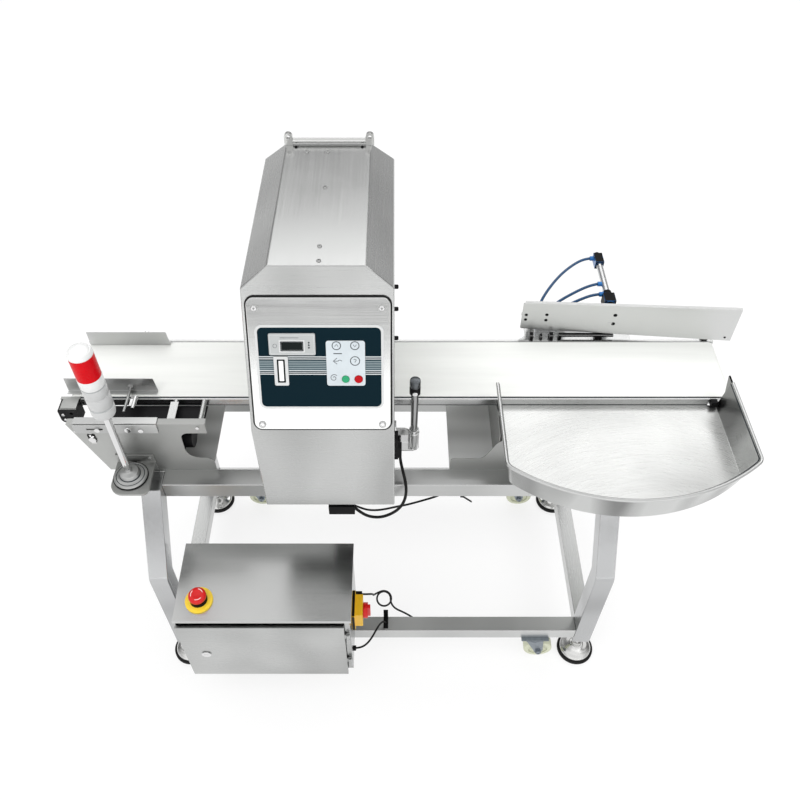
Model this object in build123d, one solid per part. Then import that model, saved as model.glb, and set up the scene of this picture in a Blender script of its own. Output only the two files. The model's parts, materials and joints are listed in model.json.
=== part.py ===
from build123d import *
import math
import os

os.makedirs("parts", exist_ok=True)

# ---------------------------------------------------------------- driving dimensions (mm)
# x runs along the belt, y away from the operator, z up from the floor.
# The working coordinates are centred between the four feet; OX, OY move the model
# so that its origin is the middle of its footprint.
OX, OY = 54.648, 44.4

TUBE = 45.0              # square tube of the upper frame and legs
TUBE_LOW = 40.0          # square tube of the lower frame
WALL = 2.0               # tube wall
LEG_X = 524.0            # half distance between left and right legs
FOOT_Y = 244.0           # half distance between front and rear feet
RAIL_TOP = 605.0         # top of the upper frame
BEND_Z = 414.0           # where the legs turn from sloping to vertical
LEG_BOTTOM = 85.0
LOW_Z0, LOW_Z1 = 107.0, 147.0
FRONT_TOP_Y = -143.0     # front face of the front legs at the top
REAR_TOP_Y = 191.0       # back face of the rear legs at the top
FRONT_RAIL = (-128.0, -83.0)
REAR_RAIL = (131.0, 176.0)

FOOT_R = 48.0
STEM_R = 8.0
CASTOR_X = 400.0
CASTOR_Y = 243.0
CASTOR_FRONT_Y = 251.0
WHEEL_R = 37.6
WHEEL_Z = 38.4
WHEEL_W = 28.0
CASTOR_TRAIL = 16.0

BELT_TOP = 755.0
BELT_X0, BELT_X1 = -703.0, 795.0
BELT_Y0, BELT_Y1 = 9.0, 184.0
BELT_T = 1.5
BELT_R = 11.8            # outside radius of the belt on its end rollers
ROLLER_R = 9.9
AXLE_Z = BELT_TOP - BELT_R

HEAD_X0, HEAD_X1 = -250.0, 30.0
HEAD_Z0 = 634.0
HEAD_FRONT = -202.0
HEAD_KNEE = 884.0        # where the front starts to lean back
HEAD_TOP = 1188.0
HEAD_TOP_Y = -66.0
HEAD_BACK = 346.0
CHAMFER_X, CHAMFER_Z = 51.0, 38.0
SHEET = 3.0
APERTURE = (-28.0, 222.0, 690.0, 880.0)   # y0, y1, z0, z1
LINER_T = 6.0

BOX = (-472.8, -72.8, -363.0, -167.0, 147.0, 404.0)   # electrical box x0 x1 y0 y1 z0 z1
DOOR = (-474.0, -86.0, -372.0, -363.4, 131.0, 386.0)
HINGE_XY = (-79.0, -368.2)
ESTOP = (-421.0, -315.0)
ISOLATOR = (-283.0, 300.0)               # y, z on the right wall of the box

TRAY_X0, TRAY_X1 = 257.0, 771.0
TRAY_FLOOR, TRAY_RIM = 735.0, 815.0
TRAY_T = 2.0
TRAY_FLARE = 12.0

PIVOT = (362.0, 236.0)   # vertical axis of the swing arm
ARM_P0 = (333.0, 219.0)
ARM_P1 = (828.5, 175.0)
ARM_Z0, ARM_Z1 = 768.0, 865.0
ARM_Z1_LEFT = 848.0      # the blade is lower at its pivot end
PIN_X, PIN_Y = 553.0, 226.0
CYL_Z = 800.0
SLOT_R0, SLOT_R1 = 190.0, 205.0

LAMP = (-562.0, -129.0)
SENSOR = (74.0, -40.0)


# ---------------------------------------------------------------- helpers
def bx(x0, x1, y0, y1, z0, z1):
    return Pos((x0 + x1) / 2, (y0 + y1) / 2, (z0 + z1) / 2) * Box(x1 - x0, y1 - y0, z1 - z0)


def cz(x, y, z0, z1, r):
    return Pos(x, y, (z0 + z1) / 2) * Cylinder(r, z1 - z0)


def cx(x0, x1, y, z, r):
    return Pos((x0 + x1) / 2, y, z) * Rot(0, 90, 0) * Cylinder(r, x1 - x0)


def cy(x, y0, y1, z, r):
    return Pos(x, (y0 + y1) / 2, z) * Rot(90, 0, 0) * Cylinder(r, y1 - y0)


def face_of(pts, radii=None):
    f = make_face(Polyline(*pts, close=True))
    if radii:
        for (px, py, r) in radii:
            v = min(f.vertices(), key=lambda q: (q.X - px) ** 2 + (q.Y - py) ** 2)
            f = fillet([v], r)
    return f


def along_x(pts, x0, x1, radii=None):
    f = face_of(pts, radii)
    return extrude(Plane(origin=(x0, 0, 0), x_dir=(0, 1, 0), z_dir=(1, 0, 0)) * f, amount=x1 - x0)


def along_y(pts, y0, y1, radii=None):
    f = face_of(pts, radii)
    return extrude(Plane(origin=(0, y1, 0), x_dir=(1, 0, 0), z_dir=(0, -1, 0)) * f, amount=y1 - y0)


def along_z(pts, z0, z1, radii=None):
    f = face_of(pts, radii)
    return extrude(Plane(origin=(0, 0, z0), x_dir=(1, 0, 0), z_dir=(0, 0, 1)) * f, amount=z1 - z0)


def turned(profile, x, y):
    """Body of revolution about a vertical axis; profile is a list of (radius, z)."""
    f = make_face(Plane.XZ * Polyline(*profile, close=True))
    return Pos(x, y, 0) * revolve(f, Axis.Z)


def solids_of(*shapes):
    out = []
    for s in shapes:
        out.extend(s.solids())
    return out


NODES = {}


def node(name, *shapes):
    NODES[name] = solids_of(*shapes)


# ---------------------------------------------------------------- legs and frame
def leg_profile(front_top, foot_y, sign, t):
    """Side outline of a bent leg; sign is +1 for the rear legs."""
    outer_top = front_top
    outer_low = sign * (foot_y + TUBE / 2)
    dx = outer_low - outer_top
    dz = RAIL_TOP - BEND_Z
    slope = dx / dz
    width = t * math.sqrt(1 + slope * slope)
    inner_low = outer_low - sign * t
    inner_top = outer_top - sign * width
    zi = RAIL_TOP - (inner_low - inner_top) / slope
    return [(outer_top, RAIL_TOP), (outer_low, BEND_Z), (outer_low, LEG_BOTTOM),
            (inner_low, LEG_BOTTOM), (inner_low, zi), (inner_top, RAIL_TOP)]


def leg(xc, front_top, sign):
    pts = leg_profile(front_top, FOOT_Y, sign, TUBE)
    outer = along_x(pts, xc - TUBE / 2, xc + TUBE / 2,
                    [(pts[1][0], pts[1][1], 30), (pts[4][0], pts[4][1], 14)])
    (ot, _), (ol, zb), (_, _), (il, _), (_, zi), (it, _) = pts
    w = WALL
    ww = w * abs(it - ot) / TUBE
    inner = along_x([(ot - sign * ww, RAIL_TOP - w), (ol - sign * w, zb), (ol - sign * w, LEG_BOTTOM + 6),
                     (il + sign * w, LEG_BOTTOM + 6), (il + sign * w, zi), (it + sign * ww, RAIL_TOP - w)],
                    xc - TUBE / 2 + w, xc + TUBE / 2 - w)
    bore = cz(xc, sign * FOOT_Y, LEG_BOTTOM - 1, LEG_BOTTOM + 8, STEM_R + 0.05)
    return (outer - inner - bore), outer


legs, leg_blanks = [], []
for sx in (-1, 1):
    for top, sg in ((FRONT_TOP_Y, -1), (REAR_TOP_Y, 1)):
        s, b = leg(sx * LEG_X, top, sg)
        legs.append(s)
        leg_blanks.append(b)
node("legs", *legs)

half = LEG_X - TUBE / 2


def tube_x(x0, x1, y0, y1, z0, z1):
    return bx(x0, x1, y0, y1, z0, z1) - bx(x0 - 1, x1 + 1, y0 + WALL, y1 - WALL, z0 + WALL, z1 - WALL)


def tube_y(x0, x1, y0, y1, z0, z1):
    return bx(x0, x1, y0, y1, z0, z1) - bx(x0 + WALL, x1 - WALL, y0 - 1, y1 + 1, z0 + WALL, z1 - WALL)


rails = [
    tube_x(-half, half, FRONT_RAIL[0], FRONT_RAIL[1], RAIL_TOP - TUBE, RAIL_TOP),
    tube_x(-half, half, REAR_RAIL[0], REAR_RAIL[1], RAIL_TOP - TUBE, RAIL_TOP),
]
ylow = FOOT_Y - TUBE / 2
yc = FOOT_Y
rails.append(tube_x(-half, half, -yc - TUBE_LOW / 2, -yc + TUBE_LOW / 2, LOW_Z0, LOW_Z1))
rails.append(tube_x(-half, half, yc - TUBE_LOW / 2, yc + TUBE_LOW / 2, LOW_Z0, LOW_Z1))
for i, sx in enumerate((-1, 1)):
    xc = sx * LEG_X
    up = tube_y(xc - TUBE / 2, xc + TUBE / 2, FRONT_TOP_Y - 20, REAR_TOP_Y + 20, RAIL_TOP - TUBE, RAIL_TOP)
    up = up - leg_blanks[2 * i] - leg_blanks[2 * i + 1]
    up = max(up.solids(), key=lambda s: s.volume)
    rails.append(up)
    rails.append(tube_y(xc - TUBE_LOW / 2, xc + TUBE_LOW / 2, -ylow, ylow, LOW_Z0, LOW_Z1))
node("frame_rails", *rails)

# ---------------------------------------------------------------- levelling feet
for tag, sx, sy in (("fl", -1, -1), ("fr", 1, -1), ("rl", -1, 1), ("rr", 1, 1)):
    x, y = sx * LEG_X, sy * FOOT_Y
    pad = turned([(0, 0), (FOOT_R - 1.5, 0), (FOOT_R, 2), (FOOT_R, 9), (FOOT_R - 2, 11), (0, 11)], x, y)
    metal = turned([(0, 11), (44.5, 11), (44.5, 14), (42, 17.5), (33, 21), (22, 31), (17, 36), (14, 37), (14, 50),
                    (STEM_R, 50), (STEM_R, 128), (6.5, 130), (0, 130)], x, y)
    node("levelling_foot_" + tag, pad, metal)

# ---------------------------------------------------------------- castors
plates = []
for tag, sx, sy in (("fl", -1, -1), ("fr", 1, -1), ("rl", -1, 1), ("rr", 1, 1)):
    x, y = sx * CASTOR_X, (CASTOR_Y if sy > 0 else -CASTOR_FRONT_Y)
    plate = bx(x - 36, x + 36, y - 22, y + 22, LOW_Z0 - 3, LOW_Z0) + cz(x, y, 97.5, LOW_Z0 - 3, 21)
    plate = plate - cz(x, y, 97.0, 105.5, 5.05)
    bolts = [cz(x + a, y + b, LOW_Z0 - 7, LOW_Z0 - 3, 5) for a in (-28, 28) for b in (-15, 15)]
    plates += [plate] + bolts
    wx = x + CASTOR_TRAIL
    cheeks = []
    for side in (-1, 1):
        ya = y + side * 16.5
        yb = y + side * 19.5
        c = along_y([(x - 21, 97.0), (x + 23, 97.0), (wx + 12, WHEEL_Z + 4), (wx + 9, WHEEL_Z - 9),
                     (wx - 9, WHEEL_Z - 9), (wx - 13, WHEEL_Z + 6)], min(ya, yb), max(ya, yb),
                    [(wx + 9, WHEEL_Z - 9, 7), (wx - 9, WHEEL_Z - 9, 7)])
        cheeks.append(c)
    crown = cz(x, y, 93.0, 97.0, 22) + bx(x - 21, x + 23, y - 19.5, y + 19.5, 93.0, 97.0)
    fork = crown + cheeks[0] + cheeks[1] + cz(x, y, 96.0, 104.5, 5.0)
    fork = fork + cy(wx, y - 19.5, y + 19.5, WHEEL_Z, 5.0)
    fork = fork + cy(wx, y - 24, y - 19.5, WHEEL_Z, 8.0) + cy(wx, y + 19.5, y + 24, WHEEL_Z, 8.0)
    node("castor_fork_" + tag, fork)
    hw = WHEEL_W / 2
    prof = [(5.05, -hw), (10, -hw), (11, -hw + 4), (25, -hw + 4), (26, -hw), (WHEEL_R - 3, -hw), (WHEEL_R, -hw + 3),
            (WHEEL_R, hw - 3), (WHEEL_R - 3, hw), (26, hw), (25, hw - 4), (11, hw - 4), (10, hw), (5.05, hw)]
    f = make_face(Plane.XZ * Polyline(*prof, close=True))
    wheel = Pos(wx, y, WHEEL_Z) * Rot(90, 0, 0) * revolve(f, Axis.Z)
    node("castor_wheel_" + tag, wheel)
node("castor_plates", *plates)

# ---------------------------------------------------------------- signal lamp
lx, ly = LAMP
bracket = along_z([(-602, -178), (-515, -178), (-515, -84.2), (-602, -84.2)], 634, 640,
                  [(-602, -178, 30), (-515, -178, 14)])
bracket = bracket + bx(-602, -515, -88.2, -84.2, 640, 664) + bx(-602, -515, -88.2, -84.2, 612, 634)
bracket = bracket + cy(-592, -92, -88.2, 653, 5) + cy(-525, -92, -88.2, 653, 5)
lamp_base = turned([(0, 640), (37.5, 640), (37.5, 644), (35, 647), (23, 649), (21.5, 652), (19.5, 660), (9, 663), (0, 663)], lx, ly)
pole = cz(lx, ly, 663, 857, 8.0)
node("lamp_post", bracket, lamp_base, pole)
low = turned([(0, 857), (17.5, 857), (23.6, 860.5), (23.6, 866), (24.8, 867), (24.8, 884), (23.4, 885), (23.4, 888),
              (24.8, 889), (24.8, 917), (23.6, 918), (23.6, 920), (24.8, 921), (24.8, 943), (23.4, 944), (23.4, 946),
              (24.8, 947), (24.8, 971), (0, 971)], lx, ly)
cap = turned([(0, 1028), (24.6, 1028), (24.6, 1032), (22, 1038), (14, 1043), (0, 1045)], lx, ly)
node("lamp_housing", low, cap)
node("lamp_lens", turned([(21.3, 971), (24.3, 971), (24.3, 1028), (21.3, 1028)], lx, ly))

# ---------------------------------------------------------------- conveyor
rx0, rx1 = BELT_X0 + BELT_R, BELT_X1 - BELT_R


def stadium(r, y0, y1):
    return (bx(rx0, rx1, y0, y1, AXLE_Z - r, AXLE_Z + r) + cy(rx0, y0, y1, AXLE_Z, r) + cy(rx1, y0, y1, AXLE_Z, r))


belt = stadium(BELT_R, BELT_Y0, BELT_Y1) - stadium(BELT_R - BELT_T, BELT_Y0 - 1, BELT_Y1 + 1)
node("conveyor_belt", belt)

near_rail = bx(-676, 738, 0, 7, 735.5, 755) + bx(738, 796, 3.6, 7, 735.5, 752)
far_rail = bx(-704, 796, 186, 193, 735.5, 755)
bed = bx(-672, 764, BELT_Y0 + 0.6, BELT_Y1 - 0.6, 749, 753.2)
conv = near_rail + far_rail + bed
for x in (-640, -420, -300, 60, 260, 480, 720):
    conv = conv + bx(x - 12, x + 12, 5, 188, 738, 749.5)
conv = conv - cy(rx1, 0, 7.5, AXLE_Z, 4.06) - cy(rx1, 185, 194, AXLE_Z, 4.06) - cy(rx0, 185, 194, AXLE_Z, 4.06)
ties = [cy(-398, -82, 0, 750, 6), cy(-461, -82, 0, 750, 6), bx(-470, -452, -60, -10, 756, 759),
        cy(340, -82, 0, 722, 6), cy(480, -82, 0, 722, 6)]
ties[3] = cy(340, -82, 3, 716, 6) + bx(330, 350, 0.2, 6, 708, 738)
ties[4] = cy(480, -82, 3, 716, 6) + bx(470, 490, 0.2, 6, 708, 738)
node("conveyor_frame", conv, *ties)

block_l = along_y([(-720, 712), (-677, 712), (-677, 757), (-720, 757)], -32, -0.5, [(-720, 712, 12), (-720, 757, 7)])
block_l = block_l + bx(-712, -677, -30, -0.5, 757, 759.5) - cy(rx0, -33, 0, AXLE_Z, 4.06)
cover_l = bx(-720, -676.5, -0.5, 7, 733, 757) - cy(rx0, -1, 8, AXLE_Z, 4.06)
bolts_l = [cy(-710, -35, -32, 740, 3.5), cy(-709, -35, -32, 723.5, 3.5), cy(-697, -35, -32, 723.5, 3.5)]
block_r = bx(742, 756, -9, 3.6, 739.5, 753)
node("roller_bearings", block_l + cover_l, *bolts_l, block_r)

for name, xr, ya, yb in (("drive_roller", rx0, -26, 192), ("idle_roller", rx1, 3.8, 192)):
    r = cy(xr, BELT_Y0 + 0.5, BELT_Y1 - 0.5, AXLE_Z, ROLLER_R) + cy(xr, ya, yb, AXLE_Z, 4.0)
    node(name, r)

motor = cx(-596, -452, -34, 668, 31) + bx(-650, -596, -66, 0, 630, 706) + cx(-452, -430, -34, 668, 27)
motor = motor + bx(-610, -470, -54, -14, 608, 642) + bx(-560, -500, -50, -18, 696, 733) + bx(-606, -392, -66, -4, 733, 738)
node("drive_motor", motor)

# ---------------------------------------------------------------- sheet-metal brackets on the frame
near_l = along_y([(-683, 768), (-381.5, 768), (-381.5, 737), (-441, 737), (-441, 650), (-381.5, 650),
                  (-381.5, 605), (-627, 605)], -84, -82,
                 [(-441, 737, 17), (-441, 650, 30), (-381.5, 650, 22)])
slot = bx(-643, -632, -85, -81, 712, 736)
left = near_l - slot + bx(-683, -381.5, -82, -67, 766, 768)
left = left + bx(-627, -389, -82, 193, 605, 608) + along_y([(-627, 605), (-389, 605), (-389, 752), (-683, 752)], 193.2, 195.2)
left = left + bx(-627, -389, 193, 195.2, 605, 608)
right = along_y([(157, 605), (157, 646), (232, 646), (258, 700), (290, 733), (604, 733), (520, 605)], -84, -82,
                [(157, 646, 9), (232, 646, 22), (258, 700, 14), (290, 733, 10)])
right = right + bx(157, 520, -82, 193, 605, 608) + bx(262, 264, -82, 193, 608, 731)
right = right + along_y([(157, 605), (520, 605), (640, 752), (157, 752)], 193.2, 195.2) + bx(157, 520, 193, 195.2, 605, 608)
right = right + bx(290, 604, -100, -84, 731, 733) + bx(262, 520, -30, -14, 731, 733)
node("mounting_brackets", left, right)

# ---------------------------------------------------------------- infeed guides with clamps and belt tensioner
GUIDE_X0, gx1 = -708.0, -508.0
ROD_X, ROD_Z = -565.0, 767.0


def guide(y_in, out, gx0, reach):
    """Upright plate whose bottom flange points to the outside (out = -1 near, +1 far)."""
    ya, yb = sorted((y_in, y_in + out * 2.0))
    p = along_y([(gx0, 757), (gx1 + 3, 757), (gx1 - 1, 797), (gx0, 797)], ya, yb, [(gx1 - 1, 797, 4)])
    fa, fb = sorted((y_in + out * 2.0, y_in + out * 12.0))
    p = p + bx(gx0, gx1 + 2, min(fa, ya), max(fb, yb), 757, 758.5)
    ra, rb = sorted((y_in + out * 1.0, y_in + out * reach))
    p = p + cy(ROD_X, ra, rb, ROD_Z, 3.0)
    ea, eb = sorted((y_in + out * 2.0, y_in + out * 6.0))
    p = p + cy(ROD_X, ea, eb, ROD_Z + 2, 7.0)
    return p


node("guide_near", guide(26.0, -1, GUIDE_X0, 74.0))
node("guide_far", guide(173.0, 1, GUIDE_X0 + 12, 32.0))
clamps = []
for (ya, yb, yc0, yc1) in ((-38, -4, -30, 6), (189, 203, 187, 203)):
    sleeve = cy(ROD_X, ya, yb, ROD_Z, 6.5) + bx(ROD_X - 7, ROD_X + 7, yc0, yc1, 755.1, 762)
    sleeve = sleeve - cy(ROD_X, ya - 1, yb + 1, ROD_Z, 3.06) - bx(ROD_X - 3.1, ROD_X + 3.1, min(yc0, ya) - 1, ya, 762, 768)
    cut = bx(ROD_X - 4, ROD_X + 4, -4, 7, 759, 775) if ya < 0 else bx(ROD_X - 4, ROD_X + 4, 186, 189, 759, 775)
    sleeve = sleeve - cut
    lock = cy(ROD_X + 17, ya, min(yb + 2, 203), ROD_Z, 4.0) + bx(ROD_X + 5, ROD_X + 21, yc0 + 4, min(yc1 - 2, yc1), 755.1, 763)
    clamps.append(sleeve + lock)
tens = along_y([(-668, 742), (-486, 742), (-486, 768), (-668, 768)], -88, -84.2) - bx(-640, -604, -89, -84, 752, 758)
tens = tens + bx(-668, -486, -84.2, -66, 768.2, 771)
tbolts = [cy(-616, -92, -88, 755, 6), cy(-549, -93, -88, 757, 7), cy(-522, -91, -88, 752, 6)]
pbolts = [cy(-668, -87, -84, 746, 3), cy(-399, -87, -84, 757, 4), cy(-637.5, -88, -84, 718, 8) + cy(-637.5, -84, -80, 718, 5.2)]
node("guide_clamps", *clamps, tens, *tbolts, *pbolts)

# ---------------------------------------------------------------- detector head
prof = [(HEAD_FRONT, HEAD_Z0), (HEAD_FRONT, HEAD_KNEE), (HEAD_TOP_Y, HEAD_TOP), (HEAD_BACK, HEAD_TOP), (HEAD_BACK, HEAD_Z0)]
sect = [(HEAD_X0, HEAD_Z0), (HEAD_X0, HEAD_TOP - CHAMFER_Z), (HEAD_X0 + CHAMFER_X, HEAD_TOP),
        (HEAD_X1 - CHAMFER_X, HEAD_TOP), (HEAD_X1, HEAD_TOP - CHAMFER_Z), (HEAD_X1, HEAD_Z0)]
outer = along_x(prof, HEAD_X0, HEAD_X1) & along_y(sect, HEAD_FRONT - 5, HEAD_BACK + 5)
T = SHEET
dyk = HEAD_TOP_Y - HEAD_FRONT
dzk = HEAD_TOP - HEAD_KNEE
ln = math.hypot(dyk, dzk)
off = T * ln / dzk
prof_in = [(HEAD_FRONT + T, HEAD_Z0 + T), (HEAD_FRONT + T, HEAD_KNEE + T * (off / T - 1) * dzk / dyk),
           (HEAD_TOP_Y + off - T * dyk / dzk, HEAD_TOP - T), (HEAD_BACK - T, HEAD_TOP - T), (HEAD_BACK - T, HEAD_Z0 + T)]
cl = math.hypot(CHAMFER_X, CHAMFER_Z)
k = T * (cl - CHAMFER_Z) / CHAMFER_X     # inset of the chamfer corners
kz = T * (cl - CHAMFER_X) / CHAMFER_Z
sect_in = [(HEAD_X0 + T, HEAD_Z0 + T), (HEAD_X0 + T, HEAD_TOP - CHAMFER_Z - k), (HEAD_X0 + CHAMFER_X + kz, HEAD_TOP - T),
           (HEAD_X1 - CHAMFER_X - kz, HEAD_TOP - T), (HEAD_X1 - T, HEAD_TOP - CHAMFER_Z - k), (HEAD_X1 - T, HEAD_Z0 + T)]
inner = along_x(prof_in, HEAD_X0 + T, HEAD_X1 - T) & along_y(sect_in, HEAD_FRONT + T - 1, HEAD_BACK - T + 1)
ay0, ay1, az0, az1 = APERTURE
head = outer - inner - bx(HEAD_X0 - 1, HEAD_X1 + 1, ay0, ay1, az0, az1)
node("head_shell", head)
liner = bx(HEAD_X0, HEAD_X1, ay0, ay1, az0, az1) - bx(HEAD_X0 - 1, HEAD_X1 + 1, ay0 + LINER_T, ay1 - LINER_T,
                                                      az0 + LINER_T, az1 - LINER_T)
node("tunnel_liner", liner)

nrm = (0.0, -dzk / ln, dyk / ln)
PF = Plane(origin=(0, HEAD_FRONT, HEAD_KNEE), x_dir=(1, 0, 0), z_dir=nrm)


def on_face(x0, x1, s0, s1, h0, h1, r=0.0):
    """Plate on the leaning front: x across, s up the slope, h out of the face."""
    w, d = x1 - x0, s1 - s0
    sk = RectangleRounded(w, d, r) if r > 0 else Rectangle(w, d)
    return PF.location * (Pos((x0 + x1) / 2, (s0 + s1) / 2, h0) * extrude(sk, amount=h1 - h0))


def disc_on_face(x, s, h0, h1, r):
    return PF.location * (Pos(x, s, (h0 + h1) / 2) * Cylinder(r, h1 - h0))


def face_point(x, s, h):
    p = PF.from_local_coords(Vector(x, s, h))
    return p


node("panel_gasket", on_face(-244, 26, 7, 279, 0, 2.5, 18))
KEYS = {"start_key": (-62.0, 117.0, 7.0), "stop_key": (-37.5, 117.0, 7.6)}
panel = on_face(-241, 23, 10, 276, 2.5, 5.5, 15)
membrane = on_face(-224, 6, 59, 220, 5.5, 6.5, 10)
keypad = on_face(-97.4, -24.6, 103.5, 194, 6.5, 8.0, 5)
for kx_, ks_, kr_ in KEYS.values():
    keypad = keypad - disc_on_face(kx_, ks_, 6.5, 9, kr_ + 0.3)
bezel = on_face(-203, -116.4, 166, 208.5, 6.5, 10.0, 3) - on_face(-180, -140, 175.5, 192, 8.5, 11, 1.2)
lcd = on_face(-179.6, -140.4, 175.9, 191.6, 8.5, 9.2, 1)
slotw = on_face(-196, -169, 104, 163, 6.5, 8.5, 3) - on_face(-190, -175, 110, 157, 7.5, 9, 1.5)
bar = on_face(-187, -178, 113, 154, 7.5, 8.2, 1)
node("control_panel", panel)
node("membrane", membrane)
node("panel_inserts", bezel, lcd, slotw, bar, keypad)
for nm, (kx_, ks_, kr_) in KEYS.items():
    node(nm, disc_on_face(kx_, ks_, 7.2, 9.2, kr_))

fast = []
for x in (-226.0, 7.0):
    for s in (21.0, 256.0):
        fast.append(disc_on_face(x, s, 5.5, 8.5, 6.0))
for x, y in ((-110, 309), (-154, 309), (-108, 179), (-107, -10), (-106, -52)):
    if y < HEAD_BACK:
        fast.append(cz(x, y, HEAD_TOP, HEAD_TOP + 2.5, 4.0))
for x in (-194.0, -22.0):
    fast.append(bx(x - 9, x + 9, HEAD_BACK - 10, HEAD_BACK, HEAD_TOP, HEAD_TOP + 18)
                + cy(x, HEAD_BACK - 10, HEAD_BACK, HEAD_TOP + 18, 9)
                - cy(x, HEAD_BACK - 11, HEAD_BACK + 1, HEAD_TOP + 18, 4.5))
fast.append(cx(-185, -31, HEAD_BACK - 5, HEAD_TOP + 8.5, 5.5))
for x in (-215.0, -5.0):
    for y in (-105.5, 153.5):
        fast.append(cz(x, y, RAIL_TOP, HEAD_Z0, 19.0))
for y, z in ((-40, 1117.6), (-60, 1080), (-85, 1028)):
    fast.append(cx(HEAD_X1, HEAD_X1 + 8, y, z, 4.2))
node("head_fasteners", *fast)

# ---------------------------------------------------------------- electrical box
bx0, bx1, by0, by1, bz0, bz1 = BOX
shell = along_x([(by0, bz0), (by0, 400.5), (by1, 408.0), (by1, bz0)], bx0, bx1)
cavity = along_x([(by0 - 2, bz0 + 2), (by0 - 2, 398.3), (by1 - 2, 405.9), (by1 - 2, bz0 + 2)], bx0 + 2, bx1 - 2)
ebox = shell - cavity
ebox = ebox + bx(-85.5, bx1, by0, by0 + 2, bz0, 398)
roof = along_x([(-366, 408.6), (-365.9, 398.6), (-363.9, 398.6), (-363.9, 400.5), (by1 + 1, 408.1), (by1 + 1, 416.0)],
               bx0 - 3.8, bx1 + 3.8)
ebox = ebox + roof
hx, hy = HINGE_XY
for z in (176.0, 306.0):
    ebox = ebox + cz(hx, hy, z, z + 20, 4.8) + bx(hx - 4.8, hx + 4.8, hy, by0, z, z + 20)
    ebox = ebox + cz(hx, hy, z + 19, z + 38, 2.0)
iy, iz = ISOLATOR
node("ebox_body", ebox)

dx0, dx1, dy0, dy1, dz0, dz1 = DOOR
door = bx(dx0, dx1, dy0, dy1, dz0, dz1) - bx(dx0 + 2, dx1 - 2, dy0 + 2, dy1 + 1, dz0 + 2, dz1 - 2)
lockx, lockz = -423.0, 251.0
door = door + cy(lockx, dy0, dy1, lockz, 13) - cy(lockx, dy0 - 1, dy1 + 1, lockz, 8.05)
for z in (196.5, 326.5):
    door = door + (cz(hx, hy, z, z + 19, 4.6) + bx(dx1 - 1, hx, hy - 1.5, hy + 1.5, z, z + 19)) - cz(hx, hy, z - 1, z + 20, 2.06)
node("ebox_door", door)
lock = cy(lockx, dy0 - 0.6, dy1 + 0.6, lockz, 8.0) + cy(lockx, dy0 - 3.2, dy0 - 0.5, lockz, 11.5)
lock = lock - bx(lockx - 5, lockx + 5, dy0 - 4, dy0 - 1.5, lockz - 1.3, lockz + 1.3)
lock = lock + bx(lockx - 8, lockx + 30, dy1 + 0.5, dy1 + 3.5, lockz - 7, lockz + 7)
node("door_lock", lock)

ex, ey = ESTOP
slope = math.degrees(math.atan2(416.0 - 408.6, by1 + 1 + 366.0))
ez = 408.6 + (ey + 366.0) * math.tan(math.radians(slope))
EL = Pos(ex, ey, ez) * Rot(slope, 0, 0)
ebase = EL * (Pos(0, 0, 2.5) * Cylinder(32.0, 5) + Pos(0, 0, 9) * Cylinder(19.0, 8) - Pos(0, 0, 8) * Cylinder(11.0, 17))
cap_r = 20.5
eprof = [(0, 5), (10.6, 5), (10.6, 17), (15, 18.5), (cap_r - 0.5, 20), (cap_r, 24), (cap_r - 1, 29), (cap_r - 4, 32), (0, 33.5)]
ebtn = EL * revolve(make_face(Plane.XZ * Polyline(*eprof, close=True)), Axis.Z)
node("estop_base", ebase)
node("estop_button", ebtn)

back = bx(bx1, bx1 + 8, iy - 35, iy + 35, iz - 35, iz + 35) + bx(bx1 + 8, bx1 + 26, iy - 28, iy + 28, iz - 28, iz + 28)
back = back - cx(bx1 + 2, bx1 + 27, iy, iz, 6.06)
node("isolator_base", back)
kn = cx(bx1 + 26.4, bx1 + 38, iy, iz, 19) + bx(bx1 + 30, bx1 + 44, iy - 5, iy + 5, iz - 21, iz + 21)
kn = kn + cx(bx1 + 4, bx1 + 27, iy, iz, 6.0)
node("isolator_knob", kn)

# ---------------------------------------------------------------- collecting tray


def tray_face(x0, x1, yf, dy, y_back):
    a = (x0, -226.0 + dy)
    b = (x1, -214.0 + dy)
    m = (514.0, yf)
    e = ThreePointArc(a, m, b)
    w = Wire([Edge.make_line((x0, y_back), a), e.edge(), Edge.make_line(b, (x1, y_back)), Edge.make_line((x1, y_back), (x0, y_back))])
    f = Face(w)
    vs = [v for v in f.vertices() if v.Y < -100]
    return f.fillet_2d(22, vs)


fl = TRAY_FLARE
low_out = tray_face(TRAY_X0 + fl, TRAY_X1 - fl, -311.0 + fl, fl, 0)
high_out = tray_face(TRAY_X0, TRAY_X1, -311.0, 0, 0)
low_in = tray_face(TRAY_X0 + fl + TRAY_T, TRAY_X1 - fl - TRAY_T, -311.0 + fl + TRAY_T, fl, 5)
high_in = tray_face(TRAY_X0 + TRAY_T, TRAY_X1 - TRAY_T, -311.0 + TRAY_T, 0, 5)
body = loft([Pos(0, 0, TRAY_FLOOR) * low_out, Pos(0, 0, TRAY_RIM) * high_out], ruled=True)
hollow = loft([Pos(0, 0, TRAY_FLOOR + TRAY_T) * low_in, Pos(0, 0, TRAY_RIM + 0.01) * high_in], ruled=True)
tray = body - hollow
tray = tray - bx(TRAY_X0 - 5, TRAY_X1 + 5, -1.0, 30, TRAY_FLOOR - 1, TRAY_RIM + 1)
rim_out = extrude(tray_face(TRAY_X0 - 4, TRAY_X1 + 4, -315.0, -2, -3), amount=5)
rim_in = extrude(tray_face(TRAY_X0 + 2, TRAY_X1 - 2, -309.0, 0, 5), amount=5)
rim = Pos(0, 0, TRAY_RIM - 5) * (rim_out - rim_in)
tray = tray + rim
ear = along_x([(-3, 758), (3, 758), (20, 813), (20, 815), (-3, 815)], TRAY_X1 - 2, TRAY_X1 + 2)
tray = tray + ear
node("collecting_tray", tray)

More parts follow.
